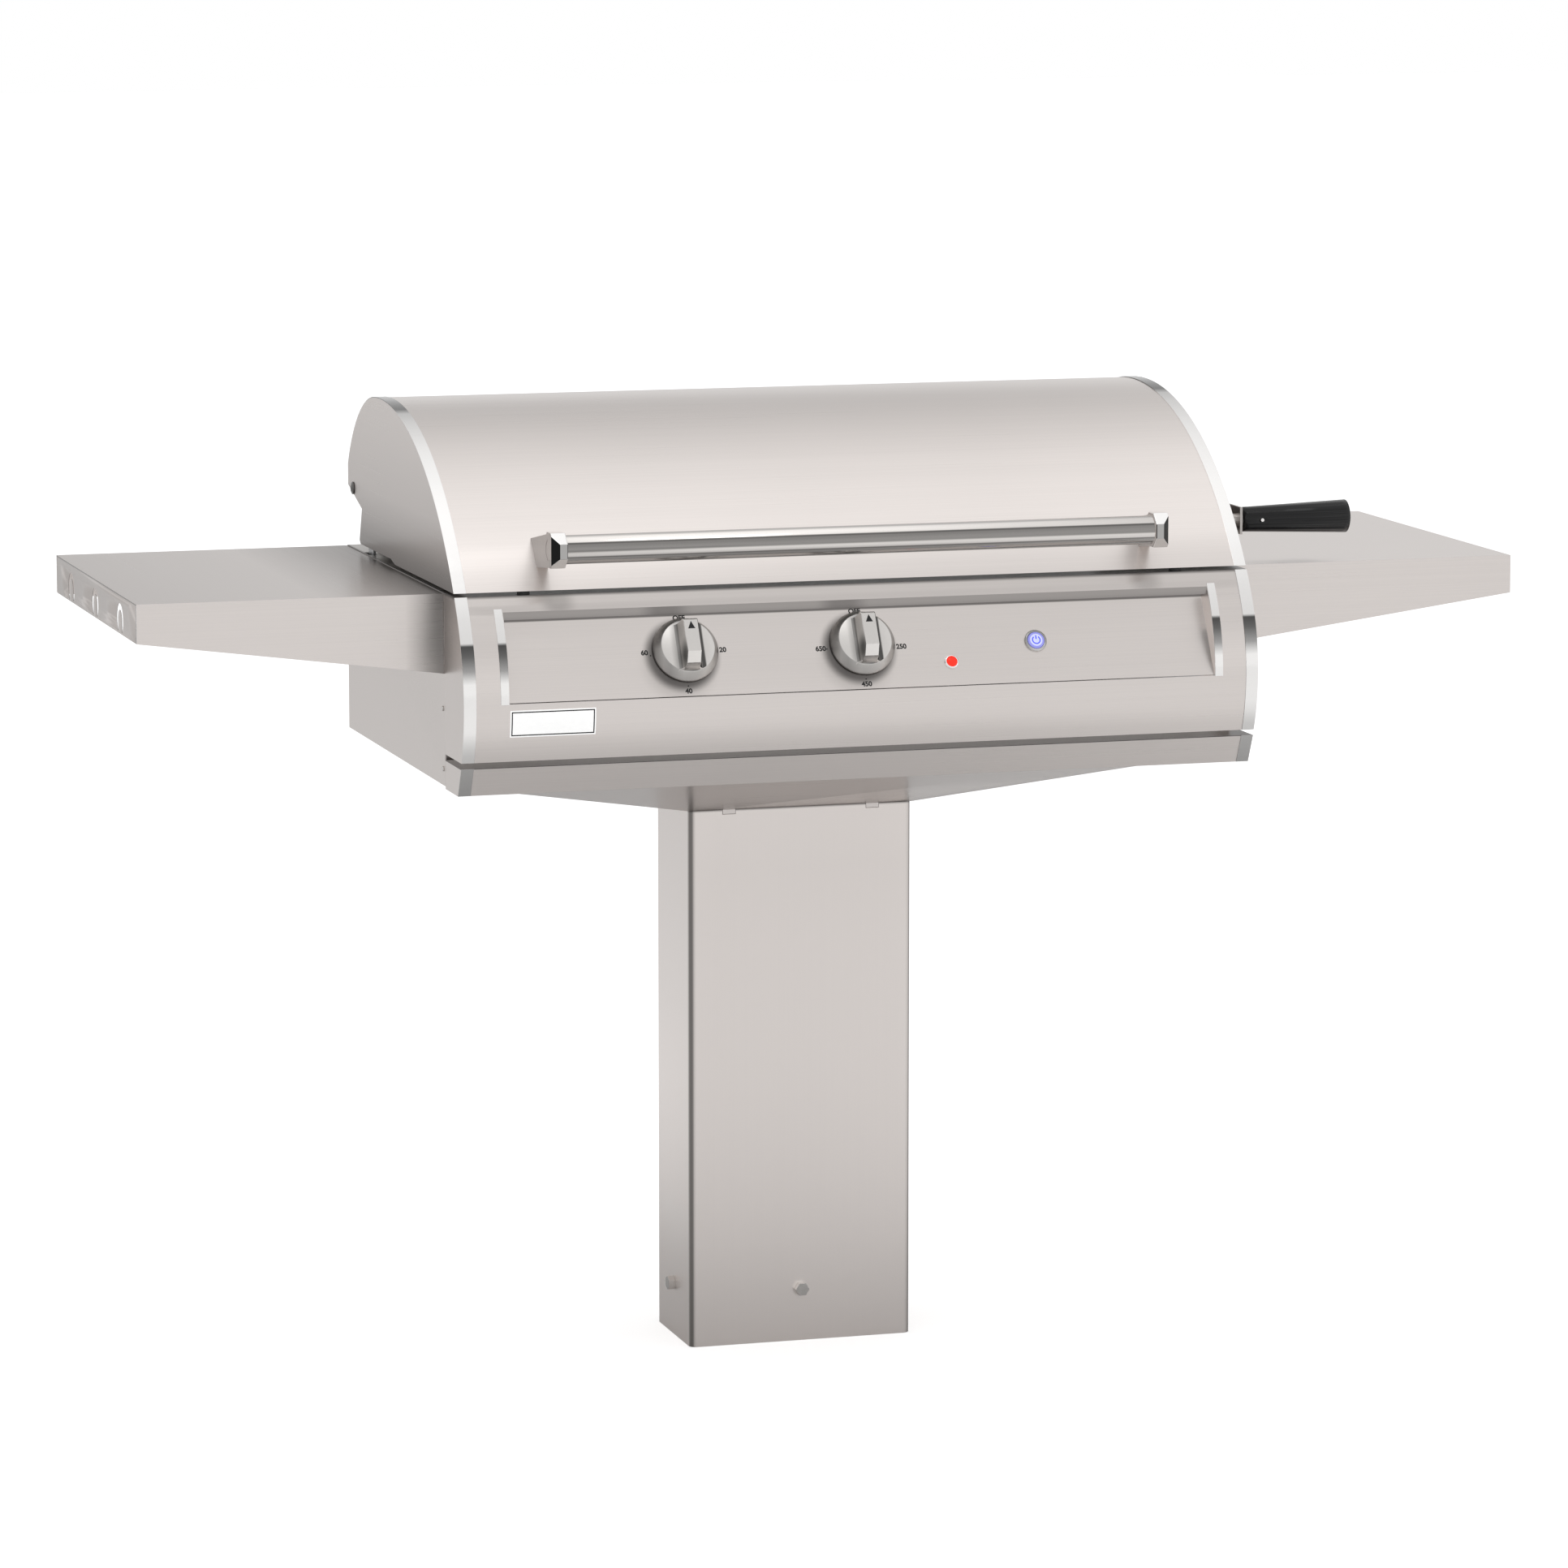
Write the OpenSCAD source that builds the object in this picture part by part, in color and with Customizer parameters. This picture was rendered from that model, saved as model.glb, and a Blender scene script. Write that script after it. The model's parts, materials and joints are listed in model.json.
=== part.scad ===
// Electric grill on an anchored patio post, with a hinged hood and two side shelves.
// Millimetres. Origin at the centre of the post on the ground, X to the right, Y to the back, Z up.
// The front of the grill looks towards -Y.

/* [Post] */
// Width of the post across the front
post_w = 267; // [240:1:290]
// Depth of the post from front to back
post_d = 142; // [130:1:160]
// Height of the post above the ground
post_h = 629.5; // [500:0.5:700]
// Wall thickness of the post
post_wall = 2; // [1.5:0.1:3]
// Outer radius of the post corners
post_corner = 8.5; // [6:0.5:12]
// Height of the foot bolts above the ground
bolt_z = 62; // [50:1:80]
// Shank diameter of the foot bolts
bolt_d = 9.5; // [8:0.1:11]
// Size of the foot bolt heads across the flats
bolt_flats = 14.3; // [13:0.1:17]
// Height of the foot bolt heads
bolt_head = 8; // [6:0.5:10]
// Length of the foot bolt shanks
bolt_len = 20; // [16:1:26]
// Width of the two tabs on the post seam
tab_w = 15; // [10:1:20]
// Height of the two tabs on the post seam
tab_h = 5; // [3:0.5:8]
// Distance of the tabs from the middle of the post
tab_x = 86; // [70:1:95]

/* [Anchor bracket] */
// Thickness of the anchor plate
base_t = 6; // [4:0.5:8]
// Thickness of the upstands on the anchor plate
upstand_t = 3; // [2:0.5:4]
// Height of the upstands on the anchor plate
upstand_h = 100; // [90:1:120]
// Distance from the post wall corner to the side of an upstand
upstand_inset = 24; // [18:1:30]
// Gap between the edge of the anchor plate and the post
base_gap = 0.5; // [0.3:0.1:1]
// Spacing of the anchor holes along X
anchor_sx = 190; // [160:1:200]
// Spacing of the anchor holes along Y
anchor_sy = 76; // [60:1:90]
// Diameter of the anchor holes
anchor_hole = 11; // [9:0.5:13]
// Diameter of the conduit opening in the anchor plate
conduit_hole = 60; // [40:1:70]
// Height of the nuts welded to the upstands
weld_nut = 8; // [6:0.5:10]

/* [Support hopper] */
// Height of the hopper between the post and the body
hopper_h = 68.5; // [60:0.5:80]
// Wall of the hopper, measured upright
hopper_wall = 2.2; // [1.8:0.1:3]
// Height of the collar that reaches down into the post
collar_h = 40; // [25:1:60]
// Wall thickness of the collar
collar_wall = 2; // [1.5:0.1:3]
// Gap between the collar and the post
collar_gap = 0.3; // [0.2:0.05:0.5]
// Width of the flange under the body
flange_w = 25; // [20:1:30]
// Thickness of the flange under the body
flange_t = 2; // [1.5:0.1:2.5]
// Spacing along X of the screws through the flange
flange_pitch = 230; // [200:5:260]

/* [Body] */
// Width of the body
body_w = 922.8; // [860:0.2:960]
// Distance from the post centre to the side seam at the front
body_front = 242; // [232:0.5:250]
// Distance from the post centre to the back of the body
body_back = 234.8; // [228.4:0.2:240]
// Height of the body
body_h = 215.5; // [205:0.5:225]
// Sheet thickness of the body, hood and shelves
sheet = 1.5; // [1.2:0.1:1.8]
// Distance of the inner front wall behind the side seam
wall_setback = 25.5; // [24:0.5:30]
// Width of the rim flange inside the body
rim_w = 24; // [22:0.5:28]
// Gap between parts that are only seated together
seat_gap = 0.3; // [0.2:0.05:0.4]
// Thickness of the polished trim strips
trim_t = 0.8; // [0.5:0.1:1.2]
// Width of the polished trim strips
trim_w = 14.4; // [12:0.2:18]

/* [Ledge] */
// Gap between the ledge and the fascia
ledge_gap = 6.6; // [5:0.2:9]
// Height of the ledge
ledge_h = 32.3; // [28:0.1:36]
// Distance of the upper edge of the ledge behind the fascia
ledge_in = 1.8; // [1:0.1:4]
// Distance of the lower edge of the ledge behind its upper edge
ledge_lean = 15.7; // [12:0.1:20]
// Length of the fixing tabs on the fascia and ledge
tab_len = 36; // [32:1:40]
// Height of the fixing tabs on the fascia and ledge
tab_tall = 18; // [14:1:20]
// Distance of the seam screws behind the side seam
seam_back = 8; // [7:0.5:10]
// Shank diameter of the seam screws
seam_d = 2.8; // [2.4:0.1:5]
// Height of the upper seam screws below the rim
seam_drop = 129.5; // [120:0.5:135]

/* [Outer curve] */
// Distance from the post centre to the foremost line of the front arc
curve_front = 329.05; // [326:0.05:332]
// Rise of the outer curve above the rim
curve_rise = 186.4; // [180:0.1:192]
// Radius of the top arc
top_r = 424.3; // [400:0.1:450]
// Radius of the front arc
front_r = 176; // [172:0.5:180]
// Radius of the rear arc
rear_r = 170.9; // [168:0.1:174]
// Direction in which the top arc meets the front arc
front_angle = 150.33; // [149:0.01:152]
// Part of the rear arc radius that lies in front of the rear wall
rear_share = 0.88; // [0.86:0.01:0.9]
// Overlap of neighbouring arcs at their joint
arc_lap = 1; // [0.5:0.1:2]

/* [Fascia] */
// Height of the fascia
fascia_h = 179.5; // [176:0.5:184]
// Length of the flange along the lower edge of the fascia
fascia_lip = 28; // [20:1:34]
// Distance of the control recess from the side of the body
recess_side = 51.9; // [49.4:0.1:60]
// Width of the polished strips beside the recess
strip_w = 9.4; // [7:0.2:11]
// Thickness of the polished strips beside the recess
strip_t = 0.5; // [0.4:0.1:0.8]
// Length of the strips beyond the recess
strip_over = 3.5; // [2:0.5:5]
// Depth of the upper crease of the recess below the rim
crease_drop = 16.7; // [15:0.1:19]
// Height of the upright lip under the crease
lip_h = 8.8; // [7:0.1:10]
// Depth of the lower edge of the recess below the rim
band_drop = 114.3; // [112:0.1:117]
// Gap of the seam under the control panel
panel_seam = 0.8; // [0.4:0.1:1]
// Step from the fascia curve back to the control panel
panel_step = 1.2; // [0.8:0.1:1.6]
// Depth of the underside of the lip down to the control panel
lip_depth = 20; // [18:0.2:22]
// Distance of the heat shield in front of the inner front wall
shield_gap = 11; // [9:0.5:13]
// Half width of the heat shield
shield_half = 430; // [400:1:440]
// Height of the heat shield
shield_h = 145; // [130:1:150]
// Depth of the heat shield top below the rim
shield_drop = 10; // [8:0.5:14]

/* [Controls] */
// Place of the timer knob along X
timer_x = -203; // [-215:0.5:-190]
// Place of the temperature knob along X
temp_x = 1.5; // [-10:0.5:10]
// Height of the two knobs up the panel
knob_v = 54.8; // [52:0.2:57]
// Place of the power button along X
power_x = 204.3; // [195:0.1:215]
// Height of the power button up the panel
power_v = 49.8; // [45:0.2:55]
// Place of the indicator lamp along X
lamp_x = 102.3; // [95:0.1:110]
// Height of the indicator lamp up the panel
lamp_v = 28.8; // [26:0.2:34]
// Base diameter of the knobs
knob_d = 75; // [70:0.5:76]
// Diameter of the knob skirt at its upper edge
skirt_d = 66; // [62:0.5:68]
// Height of the knob skirt
skirt_h = 12; // [10:0.5:14]
// Diameter of the flat face beside the grip bar
face_d = 60; // [56:0.5:61]
// Height of the flat face beside the grip bar
face_h = 15; // [14.5:0.5:17]
// Width of the grip bar
bar_w = 16.6; // [14:0.2:20]
// Height of the grip bar above the panel
bar_h = 38; // [34:0.5:42]
// Half length of the flat top of the grip bar
bar_top = 25; // [22:0.5:27]
// Height of the chamfer at the ends of the grip bar
bar_chamfer = 7; // [5:0.5:9]
// Width of the foot of the grip bar
bar_foot = 28; // [24:0.5:32]
// Height of the foot of the grip bar
foot_h = 9; // [7:0.5:11]
// Gap between the knobs and the panel
knob_gap = 0.5; // [0.4:0.1:1]
// Diameter of the control shafts
shaft_d = 6; // [5:0.1:7]
// Running clearance around shafts, pins and the button
run_gap = 0.05; // [0.03:0.01:0.08]
// Depth of the shaft bores in the knobs
shaft_up = 24; // [20:0.5:28]
// Length of the shafts inside the control bodies
shaft_down = 28; // [20:1:32]
// Side length of the control bodies
ctrl_w = 50; // [44:1:54]
// Depth of the control bodies
ctrl_h = 38; // [34:1:40]
// Outer diameter of the power button bezel
bezel_d = 26; // [25:0.5:28]
// Diameter of the barrel behind the power button bezel
barrel_d = 22; // [21.4:0.1:23]
// Diameter of the power button
button_d = 19; // [18:0.1:19.6]
// Height of the power button bezel
bezel_h = 3; // [2:0.2:4]
// Height of the power button above the panel
button_up = 3.6; // [3.2:0.1:4.4]
// Length of the power button below the panel
button_down = 6; // [5:0.5:8]
// Stroke of the power button
button_stroke = 2; // [1:0.1:2.5]
// Length of the power button barrel
barrel_h = 20; // [18:0.5:24]
// Length of the power switch
switch_h = 20; // [16:0.5:22]
// Diameter of the power button stem
stem_d = 5; // [4:0.1:6]
// Outer diameter of the lamp bezel
lamp_d = 17; // [16:0.2:19]
// Diameter of the lamp lens
lens_d = 12; // [11:0.1:13]
// Height of the lamp bezel
lamp_h = 2.5; // [2:0.1:3]
// Height of the lens dome
dome_h = 2; // [1.5:0.1:2.5]
// Length of the lamp behind the panel
lamp_down = 24; // [18:1:28]

/* [Nameplate] */
// Distance of the nameplate from the left side of the recess
plate_in = 0.5; // [0:0.5:8]
// Length of the nameplate
plate_w = 97; // [90:0.5:110]
// Height of the nameplate
plate_h = 30; // [26:0.5:34]
// Depth of the upper edge of the nameplate below the rim
plate_drop = 121.5; // [118.5:0.5:130]
// Thickness of the nameplate
plate_t = 0.8; // [0.5:0.1:1]

/* [Hood] */
// Gap between the body and the hood
hood_gap = 4; // [3:0.2:6]
// Distance from the post centre to the rear wall of the hood
hood_back = 228; // [225:0.5:230]
// Lift of the rear wall above the hood edge
rear_lift = 67.5; // [64:0.5:70]
// Distance of the notch top from the post centre
notch_top_y = 158; // [156:0.5:162]
// Lift of the notch top above the hood edge
notch_top_lift = 46.2; // [44:0.2:50]
// Distance of the notch foot from the post centre
notch_foot_y = 171; // [168:0.5:174]
// Lift of the notch foot above the hood edge
notch_foot_lift = 8.5; // [7:0.5:10]
// Chamfer at the notch foot
notch_cut = 5.4; // [4:0.2:7]
// Lift of the rear half of the side edge
side_lift = 4.5; // [3:0.5:6]
// Rear end of the ramp in the side edge
ramp_back = 13.6; // [12:0.2:16]
// Front end of the ramp in the side edge
ramp_front = -7; // [-10:0.5:-5]
// Distance of the liner inside the hood skin
liner_in = 18; // [17:0.5:20]
// Thickness of the liners
liner_t = 1; // [0.8:0.1:1.2]
// Distance of the hood liner from the side of the body
liner_side = 21.4; // [21:0.2:23]
// Rear end of the side flange of the hood liner
side_flange_back = 110; // [100:1:114]
// Distance of the bumpers from the middle
bumper_x = 380; // [340:1:400]
// Diameter of the bumpers
bumper_d = 14; // [12:0.5:16]
// Distance of the bumpers behind the hood front
bumper_in = 10.9; // [9.5:0.1:12]

/* [Hinge] */
// Distance of the hinge axis behind the post centre
pivot_y = 201; // [199:0.5:203]
// Height of the hinge axis above the hood edge
pivot_lift = 66; // [64:0.5:68]
// Diameter of the hinge bolts
pin_d = 8; // [7:0.1:9]
// Head diameter of the hinge bolts
pin_head_d = 14.8; // [14:0.1:16]
// Head height of the hinge bolts
pin_head_h = 3; // [2:0.1:4]
// Thickness of the hinge brackets
bracket_t = 3; // [2.5:0.1:4]
// Distance of the brackets from the side of the body
bracket_in = 6.4; // [6:0.1:7]
// Radius of the rounded top of the brackets
bracket_r = 10; // [9:0.5:11]
// Place of the rear edge of the bracket leg behind the post centre
leg_y = 152; // [150:0.5:154]
// Width of the bracket leg
leg_w = 24; // [20:0.5:26]
// Depth of the elbow below the hinge axis
elbow_drop = 4; // [2:0.5:6]
// Depth of the bracket foot below the rim
foot_drop = 63.5; // [60:0.5:66]
// Height of the bracket foot
foot_tall = 45; // [42:1:46]
// Height of the back riser above the rim
riser_h = 36; // [30:0.5:38]
// Distance of the back riser behind the post centre
riser_y = 195; // [193:0.5:196]
// Half width of the back riser
riser_half = 435; // [410:1:436]
// Length of the foot of the back riser
riser_foot = 18; // [14:1:22]

/* [Hood handle] */
// Distance of the handle axis in front of the hood
handle_off = 73.35; // [70:0.05:78]
// Height of the handle axis above the hood edge
handle_lift = 48.5; // [46:0.5:51]
// Diameter of the handle tube
handle_d = 32; // [29:0.5:34]
// Wall thickness of the handle tube
handle_wall = 2; // [1.5:0.1:3]
// Half length of the handle tube
handle_half = 340; // [330:0.5:350]
// Place of the handle's middle, to the right of the hood's middle
handle_shift = -5.5; // [-8:0.5:8]
// Length of the faceted end blocks
block_len = 17.4; // [15:0.2:19]
// Size of the faceted end blocks across the flats
block_flats = 39; // [38:0.5:42]
// Chamfer on the outer face of the end blocks
block_chamfer = 8.4; // [6:0.2:9]
// Length of the spigots in the handle tube
spigot_len = 12; // [8:1:20]
// Thickness of the handle arms
arm_t = 13; // [9:0.5:14]
// Height of the handle arm at the end block
arm_front_h = 38; // [36:0.5:38]
// Height of the handle arm at the hood
arm_root_h = 32; // [31:0.5:36]
// Height of the arm root centre above the hood edge
arm_root_lift = 37; // [35:0.5:38]
// Spacing of the two screws in each arm root
arm_screw_gap = 20; // [16:0.5:22]
// Shank diameter of the small screws
screw_d = 5; // [4.5:0.1:5.5]
// Head diameter of the small screws
screw_head_d = 10; // [9:0.5:11]
// Head height of the small screws
screw_head_h = 3; // [2.5:0.1:3.5]

/* [Side handle] */
// Distance of the side grip axis behind the hood front
grip_in = 18; // [15:0.5:20]
// Height of the side grip axis above the hood edge
grip_lift = 46; // [44:0.5:48]
// Distance of the side grip from the hood
grip_off = 14; // [12.5:0.5:17]
// Length of the side grip
grip_len = 129; // [110:1:140]
// Diameter of the side grip at its inner end
grip_d1 = 28; // [26:0.5:30]
// Diameter of the side grip at its outer end
grip_d2 = 38; // [35:0.5:40]
// Distance of the side arm from the hood
side_arm_off = 7.6; // [7.2:0.1:9]
// Thickness of the side arm
side_arm_t = 3; // [2.5:0.1:3.5]
// Distance of the front edge of the side arm behind the hood front
side_arm_in = 3; // [1:0.5:4]
// Height of the side arm
side_arm_h = 31; // [29:0.5:34]
// Width of the upright part of the side arm
side_arm_w = 41; // [38:1:44]
// Length of the side arm foot on the hood
side_foot = 34; // [30:1:38]
// Diameter of the rod in the side grip
rod_d = 8; // [7:0.1:9]
// Length of the rod in the side grip
rod_len = 70; // [60:1:80]
// Diameter of the rod head
rod_head_d = 14; // [13:0.5:15]
// Height of the rod head
rod_head_h = 5; // [4:0.5:5.5]
// Distance of the small pin from the inner end of the grip
pin_x = 21; // [18:0.5:24]
// Diameter of the small pin
grip_pin_d = 4; // [3:0.1:5]

/* [Shelves] */
// Reach of each shelf beyond the side of the body
shelf_w = 343; // [300:1:360]
// Depth of the shelf top below the rim
shelf_drop = 1.1; // [0.5:0.1:2]
// Distance of the shelf front in front of the post centre
shelf_front = 240.5; // [230:0.5:241]
// Distance of the shelf rear behind the post centre
shelf_back = 238.4; // [228:0.2:240]
// Depth of the shelf apron at the outer end
apron_out = 43.5; // [40:0.5:50]
// Depth of the shelf apron at the body
apron_in = 88.9; // [86:0.1:95]
// Width of the slits at both ends of the outer flange
shelf_slit = 3; // [2:0.2:4]
// Width of the tool hooks
hook_w = 36; // [32:0.5:40]
// Width of the slots around the tool hooks
hook_slot = 7; // [6:0.2:8]
// Height of the tool hooks
hook_h = 22.5; // [20:0.5:24]
// Depth of the tool hook tops below the shelf top
hook_drop = 9.9; // [8:0.1:12]
// Spacing of the tool hooks
hook_pitch = 146; // [120:1:160]
// Distance of the rear shelf bolts behind the post centre
shelf_bolt_y = 140; // [139:0.5:141]
// Distance of the front shelf bolts in front of the post centre
shelf_bolt_front = 190; // [170:1:200]
// Depth of the upper shelf bolts below the rim
shelf_bolt_drop = 29; // [28:0.5:31]
// Upright spacing of the shelf bolts
shelf_bolt_pitch = 23; // [20:0.5:24]
// Diameter of the shelf bolts
shelf_bolt_d = 6; // [5:0.1:6.5]
// Size of the shelf nuts across the flats
shelf_nut = 10; // [9:0.1:11]
// Height of the shelf nuts
shelf_nut_h = 5; // [4:0.1:5.5]

/* [Cooking well] */
// Distance from the side of the body to the cooking well
well_side = 41.4; // [40:0.2:46]
// Distance of the front wall of the well in front of the post centre
well_front = 205; // [203:0.5:207]
// Distance of the back wall of the well behind the post centre
well_back = 190; // [186:0.5:191]
// Depth of the cooking well
well_h = 178.5; // [170:0.5:180]
// Width of the ledges that carry the grates
rest_w = 12; // [9:0.5:15]
// Depth of the grates below the rim
grate_drop = 10; // [8:0.5:14]
// Thickness of the grates
grate_t = 8; // [6:0.5:10]
// Gap around the grates
grate_gap = 3; // [2:0.5:4]
// Width of the bars of the grates
grate_bar = 10; // [8:0.5:12]
// Number of bars in each grate
grate_bars = 18; // [14:1:20]
// Width of the frame of the grates
grate_frame = 16; // [14:0.5:20]
// Diameter of the heating element
heat_d = 8.5; // [7:0.1:9]
// Radius of the bends of the heating element
heat_r = 36; // [32:0.5:36.5]
// Half length of the straight runs of the heating element
heat_half = 350; // [320:1:360]
// Depth of the heating element below the rim
heat_drop = 52; // [48:0.5:56]
// Height of the element supports
support_h = 12; // [8:0.5:16]
// Thickness of the element supports
support_t = 3; // [2:0.1:4]
// Distance of the element supports from the middle
support_x = 230; // [200:1:260]
// Length of the terminal blocks
terminal_len = 18; // [15:0.5:20]
// Width of the terminal blocks
terminal_w = 28; // [24:0.5:32]
// Diameter of the thermostat probe
probe_d = 6; // [5:0.1:7]
// Half length of the thermostat probe
probe_half = 60; // [50:1:80]
// Depth of the thermostat probe below the rim
probe_drop = 34; // [30:0.5:38]
// Height of the drip tray
tray_h = 20; // [15:0.5:30]
// Gap around the drip tray
tray_gap = 12; // [8:0.5:20]

/* [Supply] */
// Width of the junction box
junction_w = 120; // [100:1:140]
// Depth of the junction box
junction_d = 90; // [80:1:110]
// Height of the junction box
junction_h = 28; // [24:0.5:32]
// Outer diameter of the supply gland
gland_d = 30; // [28:0.5:34]
// Thread diameter of the supply gland
gland_thread = 20; // [18:0.5:22]
// Bore of the supply gland
gland_bore = 12; // [10:0.5:14]
// Height of each step of the supply gland
gland_step = 7; // [6:0.5:8]

/* [Display] */
// Part to show

/* [Hidden] */
$fn = 64;
half_w = body_w / 2;
body_z = post_h + hopper_h;
rim_z = body_z + body_h;
hood_z = rim_z + hood_gap;
fascia_z = rim_z - fascia_h;
ledge_top = fascia_z - ledge_gap;
ledge_low = ledge_top - ledge_h;
wall_y = -body_front + wall_setback;
inner_half = half_w - sheet;
recess_half = half_w - recess_side;
front_y = front_r - curve_front;
rear_y = hood_back - rear_share * rear_r;
top_c = [front_y - (top_r - front_r) * cos(front_angle), rim_z + curve_rise - top_r];
rear_angle = acos((rear_y - top_c[0]) / (top_r - rear_r));
front_c = top_c + (top_r - front_r) * dir(front_angle);
rear_c = top_c + (top_r - rear_r) * dir(rear_angle);
reach = rim_z + top_r;
crease_z = rim_z - crease_drop;
lip_z = crease_z - lip_h;
band_z = rim_z - band_drop;
crease_y = curve_y(crease_z, 0);
panel_y = curve_y(band_z, 0) + panel_step;
panel_low = band_z + panel_seam;
panel_tilt = atan2(crease_y + lip_depth - panel_y, lip_z - band_z);
ledge_front = -curve_y(fascia_z, 0) - ledge_in;
ledge_foot = ledge_front - ledge_lean;
panel_back = sheet / cos(panel_tilt);
pivot_z = hood_z + pivot_lift;
handle_z = hood_z + handle_lift;
handle_y = handle_off - curve_y(handle_z, 0);
root_z = hood_z + arm_root_lift;
root_y = curve_y(root_z, 0);
root_turn = atan2(root_z - top_c[1], root_y - top_c[0]);
grip_z = hood_z + grip_lift;
grip_y = -curve_y(grip_z, 0) - grip_in;
side_arm_front = -curve_y(grip_z, 0) - side_arm_in;
shelf_z = rim_z - shelf_drop;
bracket_x = inner_half - bracket_in + sheet;
well_half = half_w - well_side;
well_z = rim_z - well_h;
grate_z = rim_z - grate_drop - grate_t;
heat_z = rim_z - heat_drop;
terminal_x = inner_half - terminal_len;
hex = 1 / cos(30);
octagon = 1 / cos(22.5);

// Unit vector in a direction given in degrees
function dir(a) = [cos(a), sin(a)];

// Front of the outer curve at height z, moved inwards by d
function curve_y(z, d) = z > top_c[1] + (top_r - d) * sin(front_angle)
  ? top_c[0] - sqrt(pow(top_r - d, 2) - pow(z - top_c[1], 2))
  : front_c[0] - sqrt(pow(front_r - d, 2) - pow(z - front_c[1], 2));

// Place on the control panel at height v along the panel
function panel_at(v) = [panel_y + v * sin(panel_tilt), band_z + v * cos(panel_tilt)];

module slab(x0, x1, y0, y1, z0, z1) {
  translate([x0, y0, z0]) cube([x1 - x0, y1 - y0, z1 - z0]);
}

module rounded(w, d, r) {
  square([w - 2 * r, d], center = true);
  square([w, d - 2 * r], center = true);
  for (sx = [-1, 1], sy = [-1, 1]) {
    translate([sx * (w / 2 - r), sy * (d / 2 - r)]) circle(r = r);
  }
}

module both_sides() {
  children();
  mirror([1, 0, 0]) children();
}

// Outline drawn in Y and Z, extruded along X
module along_x(x0, x1) {
  translate([x0, 0, 0]) rotate([90, 0, 90]) linear_extrude(height = x1 - x0) children();
}

module window(y0, y1, z0, z1) {
  translate([y0, z0]) square([y1 - y0, z1 - z0]);
}

// Area beyond the joint of two arcs, with a small overlap over the joint
module beyond(joint, turn) {
  translate(top_c - arc_lap * dir(joint + turn)) rotate(joint + turn)
    translate([0, -reach]) square([reach, 2 * reach]);
}

// Outline inside the three tangent arcs, moved inwards by d
module curve(d) {
  intersection() {
    translate(top_c) circle(r = top_r - d);
    polygon([
      top_c,
      top_c + reach * dir(front_angle),
      top_c + reach * dir((front_angle + rear_angle) / 2),
      top_c + reach * dir(rear_angle)
    ]);
  }
  intersection() {
    translate(front_c) circle(r = front_r - d);
    beyond(front_angle, 90);
  }
  intersection() {
    translate(rear_c) circle(r = rear_r - d);
    beyond(rear_angle, -90);
  }
}

// Outline of the hood from the side, moved inwards by d
module hood_outline(d) {
  intersection() {
    curve(d);
    window(-reach, hood_back - d, hood_z - pivot_lift, hood_z + reach);
  }
}

// Lower edge of the hood from the side, as the area above it
module hood_zone() {
  polygon([
    [-reach, hood_z],
    [ramp_front, hood_z],
    [ramp_back, hood_z + side_lift],
    [notch_foot_y - notch_cut, hood_z + side_lift],
    [notch_foot_y, hood_z + notch_foot_lift],
    [notch_top_y, hood_z + notch_top_lift],
    [hood_back, hood_z + rear_lift],
    [reach, hood_z + rear_lift],
    [reach, hood_z + reach],
    [-reach, hood_z + reach]
  ]);
}

// Area above the front edge and the rear wall edge of the hood
module skin_zone() {
  window(-reach, 0, hood_z, hood_z + reach);
  window(0, reach, hood_z + rear_lift, hood_z + reach);
}

// Frame on the control panel: X along it, Y up it, Z out of it
module on_panel(x, v) {
  translate([x, panel_at(v)[0], panel_at(v)[1]]) rotate([90 - panel_tilt, 0, 0]) children();
}

// Frame on each face of the post at the bolt height, Z outwards
module on_post_faces() {
  translate([0, -post_d / 2, bolt_z]) rotate([90, 0, 0]) children();
  translate([0, post_d / 2, bolt_z]) rotate([-90, 0, 0]) children();
  translate([post_w / 2, 0, bolt_z]) rotate([0, 90, 0]) children();
  translate([-post_w / 2, 0, bolt_z]) rotate([0, -90, 0]) children();
}

module post_column() {
  color("lightgray") difference() {
    linear_extrude(height = post_h) difference() {
      rounded(post_w, post_d, post_corner);
      rounded(post_w - 2 * post_wall, post_d - 2 * post_wall, post_corner - post_wall);
    }
    on_post_faces() translate([0, 0, -2 * post_wall])
      cylinder(d = bolt_d + 2 * seat_gap, h = 4 * post_wall);
    both_sides() slab(tab_x - tab_w / 2 - seat_gap, tab_x + tab_w / 2 + seat_gap,
      -post_d, -post_d / 2 + 2 * post_wall, post_h - tab_h - seat_gap, post_h + tab_h);
  }
}

module anchor_bracket() {
  in_w = post_w / 2 - post_wall;
  in_d = post_d / 2 - post_wall;
  color("silver") difference() {
    union() {
      linear_extrude(height = base_t)
        rounded(2 * (in_w - base_gap), 2 * (in_d - base_gap), post_corner - post_wall);
      for (s = [-1, 1]) {
        translate([0, s * (in_d - upstand_t / 2), upstand_h / 2])
          cube([2 * (in_w - upstand_inset), upstand_t, upstand_h], center = true);
        translate([s * (in_w - upstand_t / 2), 0, upstand_h / 2])
          cube([upstand_t, 2 * (in_d - upstand_inset), upstand_h], center = true);
      }
      on_post_faces() translate([0, 0, -post_wall - upstand_t - weld_nut])
        cylinder(d = bolt_flats * hex, h = weld_nut, $fn = 6);
    }
    on_post_faces() translate([0, 0, -2 * bolt_len])
      cylinder(d = bolt_d + 2 * run_gap, h = 2 * bolt_len);
    for (sx = [-1, 1], sy = [-1, 1]) {
      translate([sx * anchor_sx / 2, sy * anchor_sy / 2, -base_t])
        cylinder(d = anchor_hole, h = 3 * base_t);
    }
    translate([0, 0, -base_t]) cylinder(d = conduit_hole, h = 3 * base_t);
  }
}

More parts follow.
